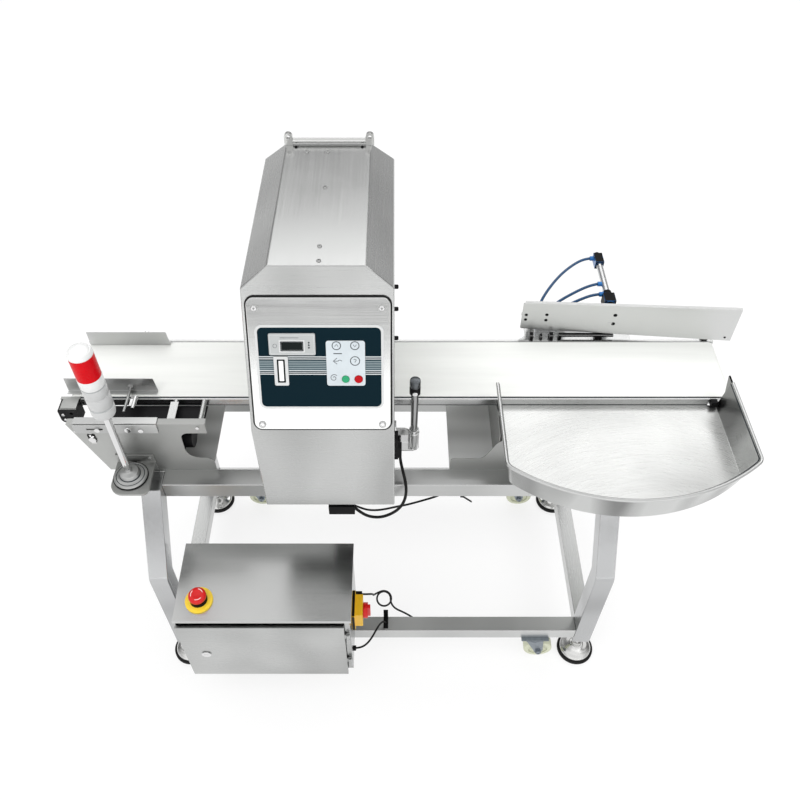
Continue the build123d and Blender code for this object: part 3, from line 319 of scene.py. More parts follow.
STEEL = (0.60, 0.60, 0.585)
MATS = {
    "satin_x": (brushed("satin_steel_x", "x"), "satin_stainless"),
    "satin_y": (brushed("satin_steel_y", "y"), "satin_stainless"),
    "satin_z": (brushed("satin_steel_z", "z", base=(0.48, 0.485, 0.49), painted_light_bands=(0.6, 0.6, 5.0, 0.80, 1.12)), "satin_stainless"),
    "head": (brushed("head_steel", "yz", rough=0.21, contrast=0.02), "satin_stainless"),
    # slope and front are lighter and darker copies of the head steel: painted light and shade by face direction
    "slope": (brushed("head_slope_steel", "yz", base=(0.68, 0.685, 0.68), rough=0.26, contrast=0.02, painted_light_bands=(3.0, 4.0, 4.0, 0.88, 1.12)), "satin_stainless"),
    "front": (brushed("head_front_steel", "x", base=(0.49, 0.495, 0.49), rough=0.27, contrast=0.012, painted_light_bands=(6.0, 1.0, 2.0, 0.86, 1.10)), "satin_stainless"),
    "bracket": (brushed("bracket_steel", "x", base=(0.41, 0.415, 0.405), rough=0.42, contrast=0.012, painted_light_bands=(6.0, 6.0, 6.0, 0.90, 1.10)), "satin_stainless"),
    "guide": (brushed("guide_steel", "x", base=(0.54, 0.545, 0.54), rough=0.38, contrast=0.012, painted_light_bands=(7.0, 1.0, 8.0, 0.84, 1.12)), "satin_stainless"),
    "rail": (brushed("rail_steel", "x", base=(0.52, 0.525, 0.52), rough=0.33, spread=0.02, grain=0.01, contrast=0.01,
             painted_light_bands=(4.0, 0.5, 0.5, 0.84, 1.14)), "satin_stainless"),
    # tray walls: a darker copy of the tray steel with strong bands, painted shade and reflection
    "wall": (brushed("tray_wall", "xy", base=(0.42, 0.425, 0.42), rough=0.24, contrast=0.02, painted_light_bands=(11.0, 11.0, 0.3, 0.50, 1.35)), "satin_stainless"),
    "panel": (brushed("panel_steel", "x", base=(0.60, 0.605, 0.60), rough=0.16), "satin_stainless"),
    # roof and door: lighter and darker copies of the box steel, painted light and shade
    "roof": (brushed("roof_steel", "x", base=(0.57, 0.575, 0.57), rough=0.22, contrast=0.02), "satin_stainless"),
    "door": (brushed("door_steel", "x", base=(0.44, 0.445, 0.44), rough=0.26, contrast=0.015, painted_light_bands=(5.0, 1.0, 4.0, 0.82, 1.14)), "satin_stainless"),
    "arm": (brushed("arm_steel", "x", base=(0.64, 0.645, 0.64), rough=0.38, contrast=0.012), "satin_stainless"),
    "tray": (tray_material(), "satin_stainless"),
    # bracket floors: a lighter, less metallic copy of the bracket steel with bands, painted light in the shaded cavity
    # under the belt
    "painted_lit_floor": (brushed("bracket_floor_painted_light", "y", base=(0.70, 0.705, 0.70), rough=0.45, contrast=0.012, metal_=0.25,
             painted_light_bands=(0.8, 11.0, 1.0, 0.60, 1.22)), "satin_stainless"),
    "rim": (brushed("rim_steel", "xy", base=(0.56, 0.565, 0.56), rough=0.12, spread=0.03), "bright_stainless"),
    "bright": (metal("bright_steel", (0.66, 0.66, 0.65), 0.17), "bright_stainless"),
    "chrome": (metal("polished_steel", (0.72, 0.72, 0.72), 0.07, 0.025, bump=0.015), "bright_stainless"),
    "base_grey": (metal("turned_base", (0.46, 0.465, 0.46), 0.36), "bright_stainless"),
    "zinc": (metal("zinc_plate", (0.25, 0.28, 0.31), 0.32, 0.06, spangle=0.08), "zinc_steel"),
    "alu": (metal("drawn_aluminium", (0.62, 0.625, 0.63), 0.25), "cylinder_aluminium"),
    "black": (plastic("black_plastic", (0.0045, 0.0045, 0.005), 0.42, spec=0.12), "black_plastic"),
    "rubber": (plastic("black_rubber", (0.012, 0.012, 0.012), 0.68, grain=0.12, spec=0.15), "black_rubber"),
    "belt": (belt_material(), "belt_white"),
    "liner": (plastic("liner_white", (0.72, 0.73, 0.72), 0.4), "liner_white"),
    "lamp_white": (plastic("lamp_white", (0.74, 0.745, 0.74), 0.28, coat=0.3), "lamp_white"),
    "lamp_grey": (plastic("lamp_grey", (0.50, 0.505, 0.505), 0.3, coat=0.3), "lamp_white"),
    "lens": (plastic("lamp_red", (0.60, 0.0, 0.005), 0.30, grain=0.02, coat=0.06, spec=0.08), "lamp_red"),
    # near black, darker than the motor's grey slot: stands partly for the deep shade under the belt
    "motor": (plastic("motor_dark", (0.007, 0.007, 0.008), 0.5, spec=0.15), "motor_grey"),
    "membrane": (membrane_material(), "membrane_dark"),
    "keypad": (plastic("keypad_grey", (0.55, 0.60, 0.63), 0.4, grain=0.03), "keypad_grey"),
    "bezel": (plastic("bezel_silver", (0.42, 0.435, 0.435), 0.34, grain=0.05), "keypad_grey"),
    "silver": (metal("printed_silver", (0.62, 0.63, 0.63), 0.34), "keypad_grey"),
    # dark grey for printed marks, also for painted shadow lines along gaps, grooves and rims
    "ink": (plastic("print_and_shadow_grey", (0.03, 0.036, 0.042), 0.5, spec=0.2), "membrane_dark"),
    "lcd": (plastic("lcd_dark", (0.005, 0.008, 0.008), 0.25, grain=0.01, spec=0.1), "membrane_dark"),
    "bar": (plastic("bar_white", (0.86, 0.86, 0.86), 0.35), "keypad_grey"),
    "green": (plastic("key_green", (0.0, 0.30, 0.12), 0.35, coat=0.3), "key_green"),
    "red": (plastic("signal_red", (0.60, 0.004, 0.004), 0.3, coat=0.15), "signal_red"),
    "key_red": (plastic("key_red", (0.42, 0.002, 0.006), 0.4, spec=0.15), "signal_red"),
    "yellow": (plastic("signal_yellow", (0.90, 0.64, 0.04), 0.38, coat=0.2), "signal_yellow"),
    "amber": (plastic("switch_yellow", (0.85, 0.50, 0.01), 0.38, coat=0.2), "signal_yellow"),
    "dark_chrome": (metal("rod_steel", (0.36, 0.36, 0.36), 0.09, 0.02, bump=0.01), "bright_stainless"),
    "sensor": (metal("sensor_cap", (0.14, 0.15, 0.16), 0.25), "sensor_grey"),
    "cream": (plastic("wheel_cream", (0.60, 0.62, 0.47), 0.45), "wheel_cream"),
    "cable": (plastic("cable_black", (0.006, 0.006, 0.006), 0.45, grain=0.08, spec=0.2), "cable_black"),
    "tube": (plastic("tube_blue", (0.003, 0.052, 0.14), 0.24, grain=0.02, coat=0.6), "tube_blue"),
    "fitting": (plastic("fitting_blue", (0.008, 0.14, 0.42), 0.3, coat=0.4), "tube_blue"),
}


# ---------------------------------------------------------------- cords
HEAD_CABLE = [(42, -84, 664), (43, -89, 648), (48, -106, 634), (54, -128, 624), (57, -144, 608), (54, -152, 582),
              (43, -156, 554), (22, -157, 530), (-4, -156, 514), (-30, -154, 515), (-50, -151, 529), (-62.5, -148, 543)]
RAIL_CABLE = [(-62.5, -138, 537), (-50, -138, 528), (-34, -138, 519), (-14, -138, 517), (8, -138, 522), (32, -137, 530),
              (58, -134, 534), (84, -127.5, 536.5), (106, -120, 536.5), (124, -113.5, 536.3), (138, -109, 540), (147, -106.5, 547.5),
              (151.6, -105.6, 558.9)]
LC, LR = (2.0, -188.0, 178.0), 20.5


def from_loop(a, b, c):
    """Point from the loop's own axes: a along x, b along the loop plane, c out of the plane."""
    return (LC[0] + a, LC[1] + 0.87 * b - 0.493 * c, LC[2] + 0.493 * b + 0.87 * c)


EBOX_CABLE = [(-50.5, -238, 296), (-42.5, -238, 295.5)]
EBOX_CABLE += [from_loop(*p) for p in (
    (-34.5, 14.7, 122.5), (-29.0, 14.6, 114.0), (-26.8, 13.9, 102.5), (-26.2, 12.6, 86.0), (-26.4, 11.0, 67.0),
    (-26.3, 10.0, 50.0), (-25.6, 10.4, 37.0), (-22.6, 12.0, 26.5), (-17.4, 14.6, 19.5))]
for i, deg in enumerate(range(105, -405, -30)):
    rr = LR - 0.17 * i
    EBOX_CABLE.append(from_loop(math.cos(math.radians(deg)) * rr, math.sin(math.radians(deg)) * rr, 14.5 - 0.95 * i))
EBOX_CABLE += [from_loop(19.8, -14.0, -3.5), from_loop(26.0, -22.5, -7.5), from_loop(35.5, -29.0, -11.5),
               (48.0, -208.8, 146.6), (58.0, -210.4, 139.4), (68.0, -213.0, 133.0), (77.5, -217.2, 128.8), (83.5, -221.8, 127.0)]
EBOX_LEAD = [(-71.0, -332, 194), (-60, -332, 195), (-47, -329, 198), (-36, -321, 202), (-27, -309, 204), (-20, -295, 203),
             (-14, -281, 198), (-9, -268, 190), (-4, -257, 180), (1, -249, 169), (5, -245, 159), (7, -244, 149.5)]
AIR_A = [(533.4, 446, 800), (514, 441, 801), (482, 415, 802), (451, 382, 802), (426, 349, 800), (406, 320, 795),
         (392, 298, 787), (386.5, 283, 780), (386, 269.5, 776)]
AIR_B = [(536.2, 345, 800), (522, 341, 800), (500, 331, 799), (476, 319, 795), (452, 307, 789),
         (432, 296, 783), (418, 284, 778), (412, 269.5, 776)]
AIR_C = [(533.4, 306, 800), (521, 304, 800), (505, 300, 798), (485, 294, 793), (464, 288, 786), (447, 281, 779), (438, 269.5, 776)]


def body_name(node):
    return body_of(frame["nodes"][node])[0]


def make_cord(node, pts, d, key):
    cu = bpy.data.curves.new(node + "_line", "CURVE")
    cu.dimensions = "3D"
    cu.bevel_depth = d / 2000.0
    cu.bevel_resolution = 5
    cu.resolution_u = 10
    cu.use_fill_caps = True
    sp = cu.splines.new("NURBS")
    sp.points.add(len(pts) - 1)
    for q, p in zip(sp.points, pts):
        q.co = (*row(*p), 1.0)
    sp.use_endpoint_u = True
    sp.order_u = 3
    ob = bpy.data.objects.new(node + "_line", cu)
    scene.collection.objects.link(ob)
    m, slot = MATS[key]
    cu.materials.append(m)
    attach(ob, body_name(node))
    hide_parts(node)


make_cord("head_cable", HEAD_CABLE, 7.0, "cable")
make_cord("rail_cable", RAIL_CABLE, 5.0, "cable")
make_cord("ebox_cable", EBOX_CABLE, 4.8, "cable")
make_cord("ebox_lead", EBOX_LEAD, 4.8, "cable")
make_cord("air_tube_a", AIR_A, 7.2, "tube")
make_cord("air_tube_b", AIR_B, 7.2, "tube")
make_cord("air_tube_c", AIR_C, 7.2, "tube")


# ---------------------------------------------------------------- mesh helpers
def finish_mesh(name, bm, key, body, nodes=(), sharp=38.0, weighted=True):
    me = bpy.data.meshes.new(name)
    bmesh.ops.recalc_face_normals(bm, faces=bm.faces)
    bm.to_mesh(me)
    bm.free()
    m, slot = MATS[key]
    me.materials.append(m)
    for p in me.polygons:
        p.use_smooth = True
        p.material_index = 0
    me.set_sharp_from_angle(angle=math.radians(sharp))
    ob = bpy.data.objects.new(name, me)
    scene.collection.objects.link(ob)
    if weighted:
        w = ob.modifiers.new("normals", "WEIGHTED_NORMAL")
        w.keep_sharp = True
    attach(ob, body)
    if nodes:
        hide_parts(*nodes)
    return ob


def put(M, p):
    q = M @ Vector(p)
    return row(q.x, q.y, q.z)


def at(x, y, z=0.0):
    return Matrix.Translation((x, y, z))


def facing(p, axis):
    """Local z along a design axis: '-y', 'x', 'z' ..."""
    R = {"z": Matrix.Identity(4), "-z": Matrix.Rotation(math.pi, 4, "X"), "x": Matrix.Rotation(math.pi / 2, 4, "Y"),
         "-x": Matrix.Rotation(-math.pi / 2, 4, "Y"), "y": Matrix.Rotation(-math.pi / 2, 4, "X"),
         "-y": Matrix.Rotation(math.pi / 2, 4, "X")}[axis]
    return Matrix.Translation(p) @ R


def lathe(name, profile, M, key, body, nodes=(), seg=56, sharp=38.0, arc=None):
    """Turned piece from a (radius, height) profile about the local z of M."""
    bm = bmesh.new()
    rings = []
    for r, z in profile:
        if r < 1e-6:
            rings.append([bm.verts.new(put(M, (0, 0, z)))])
        else:
            rings.append([bm.verts.new(put(M, (r * math.cos(2 * math.pi * i / seg), r * math.sin(2 * math.pi * i / seg), z)))
                          for i in range(seg)])
    for a, b in zip(rings, rings[1:]):
        for i in range(seg):
            j = (i + 1) % seg
            if len(a) == 1 and len(b) == 1:
                continue
            if len(a) == 1:
                bm.faces.new((a[0], b[i], b[j]))
            elif len(b) == 1:
                bm.faces.new((a[i], b[0], a[j]))
            else:
                bm.faces.new((a[i], b[i], b[j], a[j]))
    return finish_mesh(name, bm, key, body, nodes, sharp, weighted=False)


def rrect(x0, x1, y0, y1, r, n=7):
    pts = []
    for cx_, cy_, a0 in ((x1 - r, y1 - r, 0), (x0 + r, y1 - r, 90), (x0 + r, y0 + r, 180), (x1 - r, y0 + r, 270)):
        for i in range(n):
            a = math.radians(a0 + 90.0 * i / (n - 1))
            pts.append((cx_ + r * math.cos(a), cy_ + r * math.sin(a)))
    return pts


def circ(x, y, r, n=32):
    return [(x + r * math.cos(2 * math.pi * i / n), y + r * math.sin(2 * math.pi * i / n)) for i in range(n)]


def slab(name, loop, h0, h1, M, key, body, nodes=(), edge=0.25):
    """Prism with a small rounded upper edge."""
    bm = bmesh.new()
    low = [bm.verts.new(put(M, (x, y, h0))) for x, y in loop]
    top = [bm.verts.new(put(M, (x, y, h1))) for x, y in loop]
    n = len(loop)
    for i in range(n):
        bm.faces.new((low[i], low[(i + 1) % n], top[(i + 1) % n], top[i]))
    f = bm.faces.new(top)
    bm.faces.new(list(reversed(low)))
    if edge:
        bmesh.ops.bevel(bm, geom=list(f.edges), offset=edge / 1000.0, segments=2, profile=0.5, affect="EDGES", clamp_overlap=True)
    return finish_mesh(name, bm, key, body, nodes)


def band(name, outer, inner, h0, h1, M, key, body, closed=True):
    """Flat ring or strip between two outlines with the same number of points."""
    bm = bmesh.new()
    n = len(outer)
    v = [[bm.verts.new(put(M, (x, y, h))) for x, y in loop] for loop, h in
         ((outer, h0), (outer, h1), (inner, h1), (inner, h0))]
    for k in range(3 if not closed else 4):
        a, b = v[k], v[(k + 1) % 4]
        for i in range(n if closed else n - 1):
            j = (i + 1) % n
            bm.faces.new((a[i], a[j], b[j], b[i]))
    return finish_mesh(name, bm, key, body)


def stroke(name, pts, w, h0, h1, M, key, body):
    """Line of a printed symbol: a thin raised strip along 2-D points."""
    left, right = [], []
    for i, (x, y) in enumerate(pts):
        ax, ay = pts[max(0, i - 1)]
        bx_, by_ = pts[min(len(pts) - 1, i + 1)]
        d = math.hypot(bx_ - ax, by_ - ay)
        nx, ny = -(by_ - ay) / d, (bx_ - ax) / d
        left.append((x + nx * w / 2, y + ny * w / 2))
        right.append((x - nx * w / 2, y - ny * w / 2))
    return band(name, left, right, h0, h1, M, key, body, closed=False)


def domed(name, M, r, h, key, body, nodes=(), hexed=False):
    """Dome or socket screw head with a recess, seen from above."""
    k = 0.42 * r
    prof = [(0, h * 0.45), (k * 0.86, h * 0.45), (k, h * 0.97), (r * 0.62, h * 0.93), (r * 0.86, h * 0.70), (r * 0.98, h * 0.35), (r, 0)]
    return lathe(name, prof, M, key, body, nodes, seg=6 if hexed else 28, sharp=50.0)


def skin(node, pick, bevel=0.5, drop=None, limit=29.0, roll=None):
    """Finished copy of a CAD node: merged, edges rounded, split by finish. pick(b0, b1, c, n) names the finish."""
    src = frame["nodes"][node]
    body = body_name(node)
    bm = bmesh.new()
    bm.from_mesh(src.data)
    bmesh.ops.remove_doubles(bm, verts=bm.verts, dist=2e-6)
    bmesh.ops.dissolve_limit(bm, angle_limit=math.radians(0.4), verts=bm.verts, edges=bm.edges)
    bm.faces.ensure_lookup_table()
    seen = set()
    keys, gone = [], []
    for f0 in list(bm.faces):
        if f0.index in seen:
            continue
        stack, island = [f0], []
        seen.add(f0.index)
        while stack:
            f = stack.pop()
            island.append(f)
            for e in f.edges:
                for g in e.link_faces:
                    if g.index not in seen:
                        seen.add(g.index)
                        stack.append(g)
        xs = [v.co for f in island for v in f.verts]
        b0 = (min(c.x for c in xs) * 1000 + OX, min(c.y for c in xs) * 1000 + OY, min(c.z for c in xs) * 1000)
        b1 = (max(c.x for c in xs) * 1000 + OX, max(c.y for c in xs) * 1000 + OY, max(c.z for c in xs) * 1000)
        if drop and drop(b0, b1):
            gone += island
            continue
        for f in island:
            c = f.calc_center_median()
            c = (c.x * 1000 + OX, c.y * 1000 + OY, c.z * 1000)
            key = pick if isinstance(pick, str) else pick(b0, b1, c, f.normal)
            if key not in keys:
                keys.append(key)
            f.material_index = keys.index(key)
    if roll:
        gone += [f for f in bm.faces if all(v.co.z * 1000 > roll[0] for v in f.verts)]
    if gone:
        bmesh.ops.delete(bm, geom=gone, context="FACES")
    if roll:
        for v in bm.verts:
            v.co.z = min(v.co.z, roll[1] / 1000.0)
    if bevel:
        edges = [e for e in bm.edges if e.is_manifold and e.calc_face_angle(0.0) > math.radians(limit)]
        bmesh.ops.bevel(bm, geom=edges, offset=bevel / 1000.0, offset_type="OFFSET", segments=2, profile=0.5,
                        affect="EDGES", clamp_overlap=False, loop_slide=True)
    out = []
    for i, key in enumerate(keys):
        part = bm.copy()
        extra = [f for f in part.faces if f.material_index != i]
        if extra:
            bmesh.ops.delete(part, geom=extra, context="FACES")
        me = bpy.data.meshes.new("%s_%s" % (node, key))
        part.to_mesh(me)
        part.free()
        m, slot = MATS[key]
        me.materials.append(m)
        for p in me.polygons:
            p.use_smooth = True
            p.material_index = 0
        me.set_sharp_from_angle(angle=math.radians(50.0))
        ob = bpy.data.objects.new("%s_%s" % (node, key), me)
        scene.collection.objects.link(ob)
        w = ob.modifiers.new("normals", "WEIGHTED_NORMAL")
        w.keep_sharp = True
        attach(ob, body)
        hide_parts(node)
        out.append(ob)
    bm.free()
    return out


def long_axis(b0, b1, c, n):
    d = [b1[i] - b0[i] for i in range(3)]
    return ("rail", "satin_y", "satin_z")[d.index(max(d))]


# ---------------------------------------------------------------- frame, feet, castors
skin("legs", "satin_z", 2.4)
skin("frame_rails", long_axis, 1.2)
for tag, sx, sy in (("fl", -1, -1), ("fr", 1, -1), ("rl", -1, 1), ("rr", 1, 1)):
    x, y = sx * 524.0, sy * 244.0
    n = "levelling_foot_" + tag
    b = body_name(n)
    lathe(n + "_pad", [(0, 0), (45.5, 0), (47.3, 0.8), (48, 2.4), (48, 8.6), (47.3, 10.2), (45.6, 11), (40, 11), (40, 10.4)], at(x, y), "rubber", b, (n,))
    lathe(n + "_metal", [(42.0, 10.6), (42.0, 13.2), (41.4, 14.6), (39.8, 17.0), (36, 19.3), (32.0, 21.1), (27.0, 25.4), (22, 30.6),
                         (18.6, 34.6), (16.6, 36.2), (14, 37), (14, 50), (13.2, 50.8), (9.5, 51)], at(x, y), "bright", b, (n,))
    thread = [(8, 50)]
    z = 51.0
    while z < 126:
        thread += [(8.0, z), (7.2, z + 1.0)]
        z += 2.0
    lathe(n + "_stem", thread + [(8, 127.5), (6.5, 129.6), (0, 130)], at(x, y), "bright", b, (n,), seg=28, sharp=20.0)
    # the lock nut stays against the leg while the foot screws in or out
    turns = [(math.radians(10 * i + 12), 13.4 * math.cos(math.radians(30)) / math.cos(math.radians((10 * i) % 60 - 30))) for i in range(36)]
    band(n + "_nut", [(r * math.cos(q), r * math.sin(q)) for q, r in turns], [(8.4 * math.cos(q), 8.4 * math.sin(q)) for q, r in turns],
         73.0, 84.6, at(x, y), "bright", body_name("legs"))

    cx_, cy_ = sx * 400.0, (243.0 if sy > 0 else -251.0)
    wx = cx_ + 16.0
    skin("castor_fork_" + tag, "zinc", 0.5)
    w = "castor_wheel_" + tag
    bw = body_name(w)
    M = facing((wx, cy_, 38.4), "y")
    lathe(w + "_tread", [(25.6, -13.6), (27, -14), (34.2, -14), (36.4, -13.0), (37.6, -10.6), (37.6, 10.6), (36.4, 13.0), (34.2, 14),
                         (27, 14), (25.6, 13.6)], M, "cream", bw, (w,), seg=64)
    lathe(w + "_core", [(25.8, -13.2), (25, -10.6), (11.5, -10.4), (10.4, -13.4), (9.6, -14), (5.1, -14), (5.1, 14), (9.6, 14),
                        (10.4, 13.4), (11.5, 10.4), (25, 10.6), (25.8, 13.2)], M, "cream", bw, (w,), seg=64)
    for side in (-1, 1):
        lathe(w + ("_bearing_a" if side < 0 else "_bearing_b"), [(5.2, side * 11.6), (5.2, side * 14.2), (9.4, side * 14.2), (9.4, side * 11.6)],
              M, "zinc", bw, seg=36)
    f = body_name("castor_fork_" + tag)
    for side in (-1, 1):
        domed("castor_axle_nut_%s_%s" % (tag, "a" if side < 0 else "b"), facing((wx, cy_ + side * 24, 38.4), "y" if side > 0 else "-y"),
              7.6, 3.4, "zinc", f, hexed=True)
skin("castor_plates", "zinc", 0.5)

# ---------------------------------------------------------------- signal lamp
b = body_name("lamp_post")
LX, LY = -562.0, -129.0
skin("lamp_post", "bracket", 0.6, drop=lambda b0, b1: b0[2] > 639 and b1[0] - b0[0] < 80)
lathe("lamp_base", [(0, 640.1), (37.2, 640.1), (37.5, 640.6), (37.5, 643.4), (36.6, 644.6), (34.8, 646.4), (32.4, 646.9), (31.2, 646.2),
                    (24.6, 647.6), (23.2, 648.8), (21.9, 651.6), (20.9, 656.8), (19.6, 659.4), (17.0, 660.6), (11.0, 662.2), (9.2, 663.2), (8.2, 664.4), (7.9, 664.4)],
      at(LX, LY), "base_grey", b, ("lamp_post",))
lathe("lamp_base_ring", [(37.2, 640.2), (39.0, 640.2), (39.0, 642.6), (37.2, 642.6)], at(LX, LY), "black", b, seg=72)
# thin dark rings in the groove and at the neck of the turned base: painted shade
lathe("lamp_base_groove", [(31.9, 646.4), (31.4, 647.0), (30.4, 646.9), (30.2, 646.2)], at(LX, LY), "ink", b, seg=72)
lathe("lamp_base_neck", [(23.4, 648.6), (22.9, 650.0), (22.1, 651.4)], at(LX, LY), "ink", b, seg=72)
lathe("lamp_pole", [(8.0, 661), (8.0, 858)], at(LX, LY), "chrome", b, ("lamp_post",), seg=40)
lathe("lamp_collar", [(8.1, 853.4), (11.0, 853.4), (11.6, 854.2), (11.6, 857.2)], at(LX, LY), "black", b, seg=40)
b = body_name("lamp_housing")
lathe("lamp_lower", [(0, 857), (17.2, 857), (19.4, 857.8), (22.8, 859.8), (23.7, 861.4), (23.7, 865.8), (24.7, 866.8), (24.8, 868.0), (24.8, 883.2),
                     (24.4, 884.0)], at(LX, LY), "lamp_grey", b, ("lamp_housing",), seg=72)
lathe("lamp_ring_a", [(24.4, 884.0), (23.3, 884.6), (23.3, 888.2), (24.4, 888.8)], at(LX, LY), "bezel", b, seg=72)
lathe("lamp_middle", [(24.4, 888.8), (24.8, 889.4), (24.8, 916.6), (24.4, 917.4), (23.6, 918.0), (23.6, 920.0), (24.4, 920.6), (24.8, 921.4),
                      (24.8, 942.6), (24.4, 943.4)], at(LX, LY), "lamp_grey", b, ("lamp_housing",), seg=72)
lathe("lamp_ring_b", [(24.4, 943.4), (23.3, 944.0), (23.3, 946.2), (24.4, 946.8)], at(LX, LY), "bezel", b, seg=72)
lathe("lamp_upper", [(24.4, 946.8), (24.8, 947.6), (24.8, 969.6), (24.4, 970.8), (23.4, 971.0)], at(LX, LY), "lamp_white", b, ("lamp_housing",), seg=72)
lathe("lamp_cap", [(23.8, 1028.0), (24.5, 1028.2), (24.6, 1029.0), (24.6, 1031.2), (24.2, 1032.6), (23.2, 1035.4), (21.6, 1038.2), (20.6, 1038.6), (19.8, 1038.2),
                   (18.8, 1039.8), (15.0, 1042.2), (9.0, 1044.2), (0, 1045.0)], at(LX, LY), "lamp_white", b, ("lamp_housing",), seg=72)
lens = [(24.0, 970.6), (24.3, 971.4)]
z = 972.0
while z < 1027:
    lens += [(24.3, z), (24.3, z + 3.0), (24.18, z + 3.3), (24.18, z + 3.8)]
    z += 4.1
lathe("lamp_lens_ribbed", lens + [(24.3, 1027.4), (24.0, 1028.0)], at(LX, LY), "lens", body_name("lamp_lens"), ("lamp_lens",), seg=72, sharp=60)

# ---------------------------------------------------------------- conveyor
skin("conveyor_belt", "belt", 0.0)
skin("conveyor_frame", "satin_x", 0.5)
b = body_name("conveyor_frame")
# thin dark strips along the belt edge and the foot of the rail front: painted shadow
slab("belt_edge_painted_shadow", rrect(-676, 738, 4.2, 7.2, 0.3), 755.0, 755.3, at(0, 0), "ink", b, edge=0)
slab("rail_lower_painted_shadow", rrect(-676, 738, 735.6, 737.4, 0.3), 0.0, 0.25, facing((0, 0, 0), "-y"), "ink", b, edge=0)


def bearing(b0, b1, c, n):
    if b1[0] < -670:
        return "bracket" if c[1] > -0.6 or c[2] > 756.9 and n.z > -0.5 and b0[2] < 757 else "black"
    return "black"


skin("roller_bearings", bearing, 0.0, drop=lambda b0, b1: b1[1] < -31.0 and b1[0] < -670)
b = body_name("roller_bearings")
for i, (x, z) in enumerate(((-710, 740), (-709, 723.5), (-697, 723.5))):
    domed("bearing_bolt_%d" % i, facing((x, -32, z), "-y"), 4.0, 3.0, "chrome", b)
skin("drive_roller", "bright", 0.3)
skin("idle_roller", "bright", 0.3)
skin("drive_motor", "motor", 0.8)

# ---------------------------------------------------------------- brackets, guides
# The upward floor faces of the brackets take the lighter copy: painted light where the cavity is in shade.
skin("mounting_brackets", lambda b0, b1, c, n: "painted_lit_floor" if n.z > 0.9 and c[2] < 610 else "bracket", 0.5)
skin("guide_near", lambda b0, b1, c, n: "guide" if c[2] > 758.6 or abs(c[0] + 565) > 12 else "bright", 0.4)
skin("guide_far", lambda b0, b1, c, n: "guide" if c[2] > 758.6 or abs(c[0] + 565) > 12 else "bright", 0.4)


def clamp(b0, b1, c, n):
    if max(b1[i] - b0[i] for i in range(3)) < 14:
        return "chrome"
    return "guide" if b1[0] - b0[0] > 60 or b1[1] < -80 else "chrome"


skin("guide_clamps", clamp, 0.4)
b = body_name("mounting_brackets")
F = facing((0, -84, 0), "-y")
band("slot_edge", rrect(-646, -629, 717, 735, 3), rrect(-643.6, -631.4, 719.4, 732.6, 2), -0.2, 1.1, F, "black", b)
slab("slot_washer", rrect(-643, -632, 703, 715.5, 1.2), 0.0, 1.0, F, "bright", b)
stroke("slot_mark", [(-633, 705), (-629.6, 711), (-628, 721)], 1.3, 0.0, 0.7, F, "black", b)

# ---------------------------------------------------------------- detector head
# Faces of the one stainless shell are split by direction: the chamfers get a lighter copy of the steel and the front
# faces a darker one, painted light and shade.
skin("head_shell", lambda b0, b1, c, n: "front" if n.y < -0.5 else ("slope" if abs(n.x) > 0.3 and n.z > 0.2 else "head"), 2.4)
skin("tunnel_liner", "liner", 0.8)
skin("panel_gasket", "rubber", 0.4)
skin("control_panel", "panel", 1.5)
skin("membrane", "membrane", 0.2)
b = body_name("control_panel")
band("membrane_border", rrect(-228, 10, 55, 224.5, 13.5), rrect(-223.4, 5.4, 59.6, 219.4, 9.6), 5.45, 6.85, PANEL, "silver", b)


def insert(b0, b1, c, n):
    if b1[0] < -165 and b0[0] < -195.5:
        return "bezel" if b1[0] > -160 else "silver"
    return "bezel"


def insert_kind(b0, b1, c, n):
    w = b1[0] - b0[0]
    if w > 80:
        return "bezel"
    if w > 60:
        return "keypad"
    if w > 35:
        return "lcd"
    if w > 20:
        return "silver"
    return "bar"


skin("panel_inserts", insert_kind, 0.35)
slab("slot_floor", rrect(-190, -175, 110, 157, 1.5), 7.45, 7.6, PANEL, "lcd", b, edge=0)
band("bezel_line", rrect(-200.6, -118.8, 168.4, 206.1, 2.2), rrect(-199.9, -119.5, 169.1, 205.4, 1.8), 9.98, 10.12, PANEL, "silver", b)
band("bezel_plate", rrect(-184.0, -136.0, 171.6, 196.0, 1.0), rrect(-180.2, -139.8, 175.3, 192.2, 0.9), 9.95, 10.15, PANEL, "silver", b)
band("lcd_frame", rrect(-181.4, -138.6, 174.1, 193.4, 1.2), rrect(-180.0, -140.0, 175.5, 192.0, 0.8), 10.1, 10.3, PANEL, "ink", b)
stroke("bezel_mark_a", [(-181.5, 200.4), (-166.0, 200.4), (-147.0, 200.4)], 0.8, 9.98, 10.12, PANEL, "ink", b)
for k, s_ in enumerate((191.0, 186.0, 181.0)):
    slab("bezel_key_%d" % k, circ(-128.4, s_, 1.7, 18), 9.9, 10.5, PANEL, "ink", b, edge=0.3)
band("bezel_ring", circ(-191.5, 184.5, 4.0), circ(-191.5, 184.5, 3.4), 9.98, 10.12, PANEL, "ink", b)

K = (8.0, 8.16)
for k, (x, s_, r) in enumerate(((-77.7, 184.3, 8.6), (-43.5, 184.3, 8.6), (-43.6, 153.9, 9.4))):
    band("key_ring_%d" % k, circ(x, s_, r, 40), circ(x, s_, r - 1.5, 40), K[0] - 0.1, K[1], PANEL, "ink", b)
stroke("key_mark_a", [(-80.8, 182.6), (-77.7, 187.2), (-74.6, 182.6)], 1.0, *K, PANEL, "ink", b)
stroke("key_mark_b", [(-46.6, 186.4), (-43.5, 181.8), (-40.4, 186.4)], 1.0, *K, PANEL, "ink", b)
stroke("key_mark_c", [(-46.2, 156.6), (-44.0, 157.6), (-41.4, 156.4), (-41.6, 154.4), (-43.6, 152.8), (-43.6, 150.6)], 1.0, *K, PANEL, "ink", b)
stroke("key_dash", [(-83.6, 168.6), (-75.6, 168.6), (-67.6, 168.6)], 1.7, *K, PANEL, "ink", b)
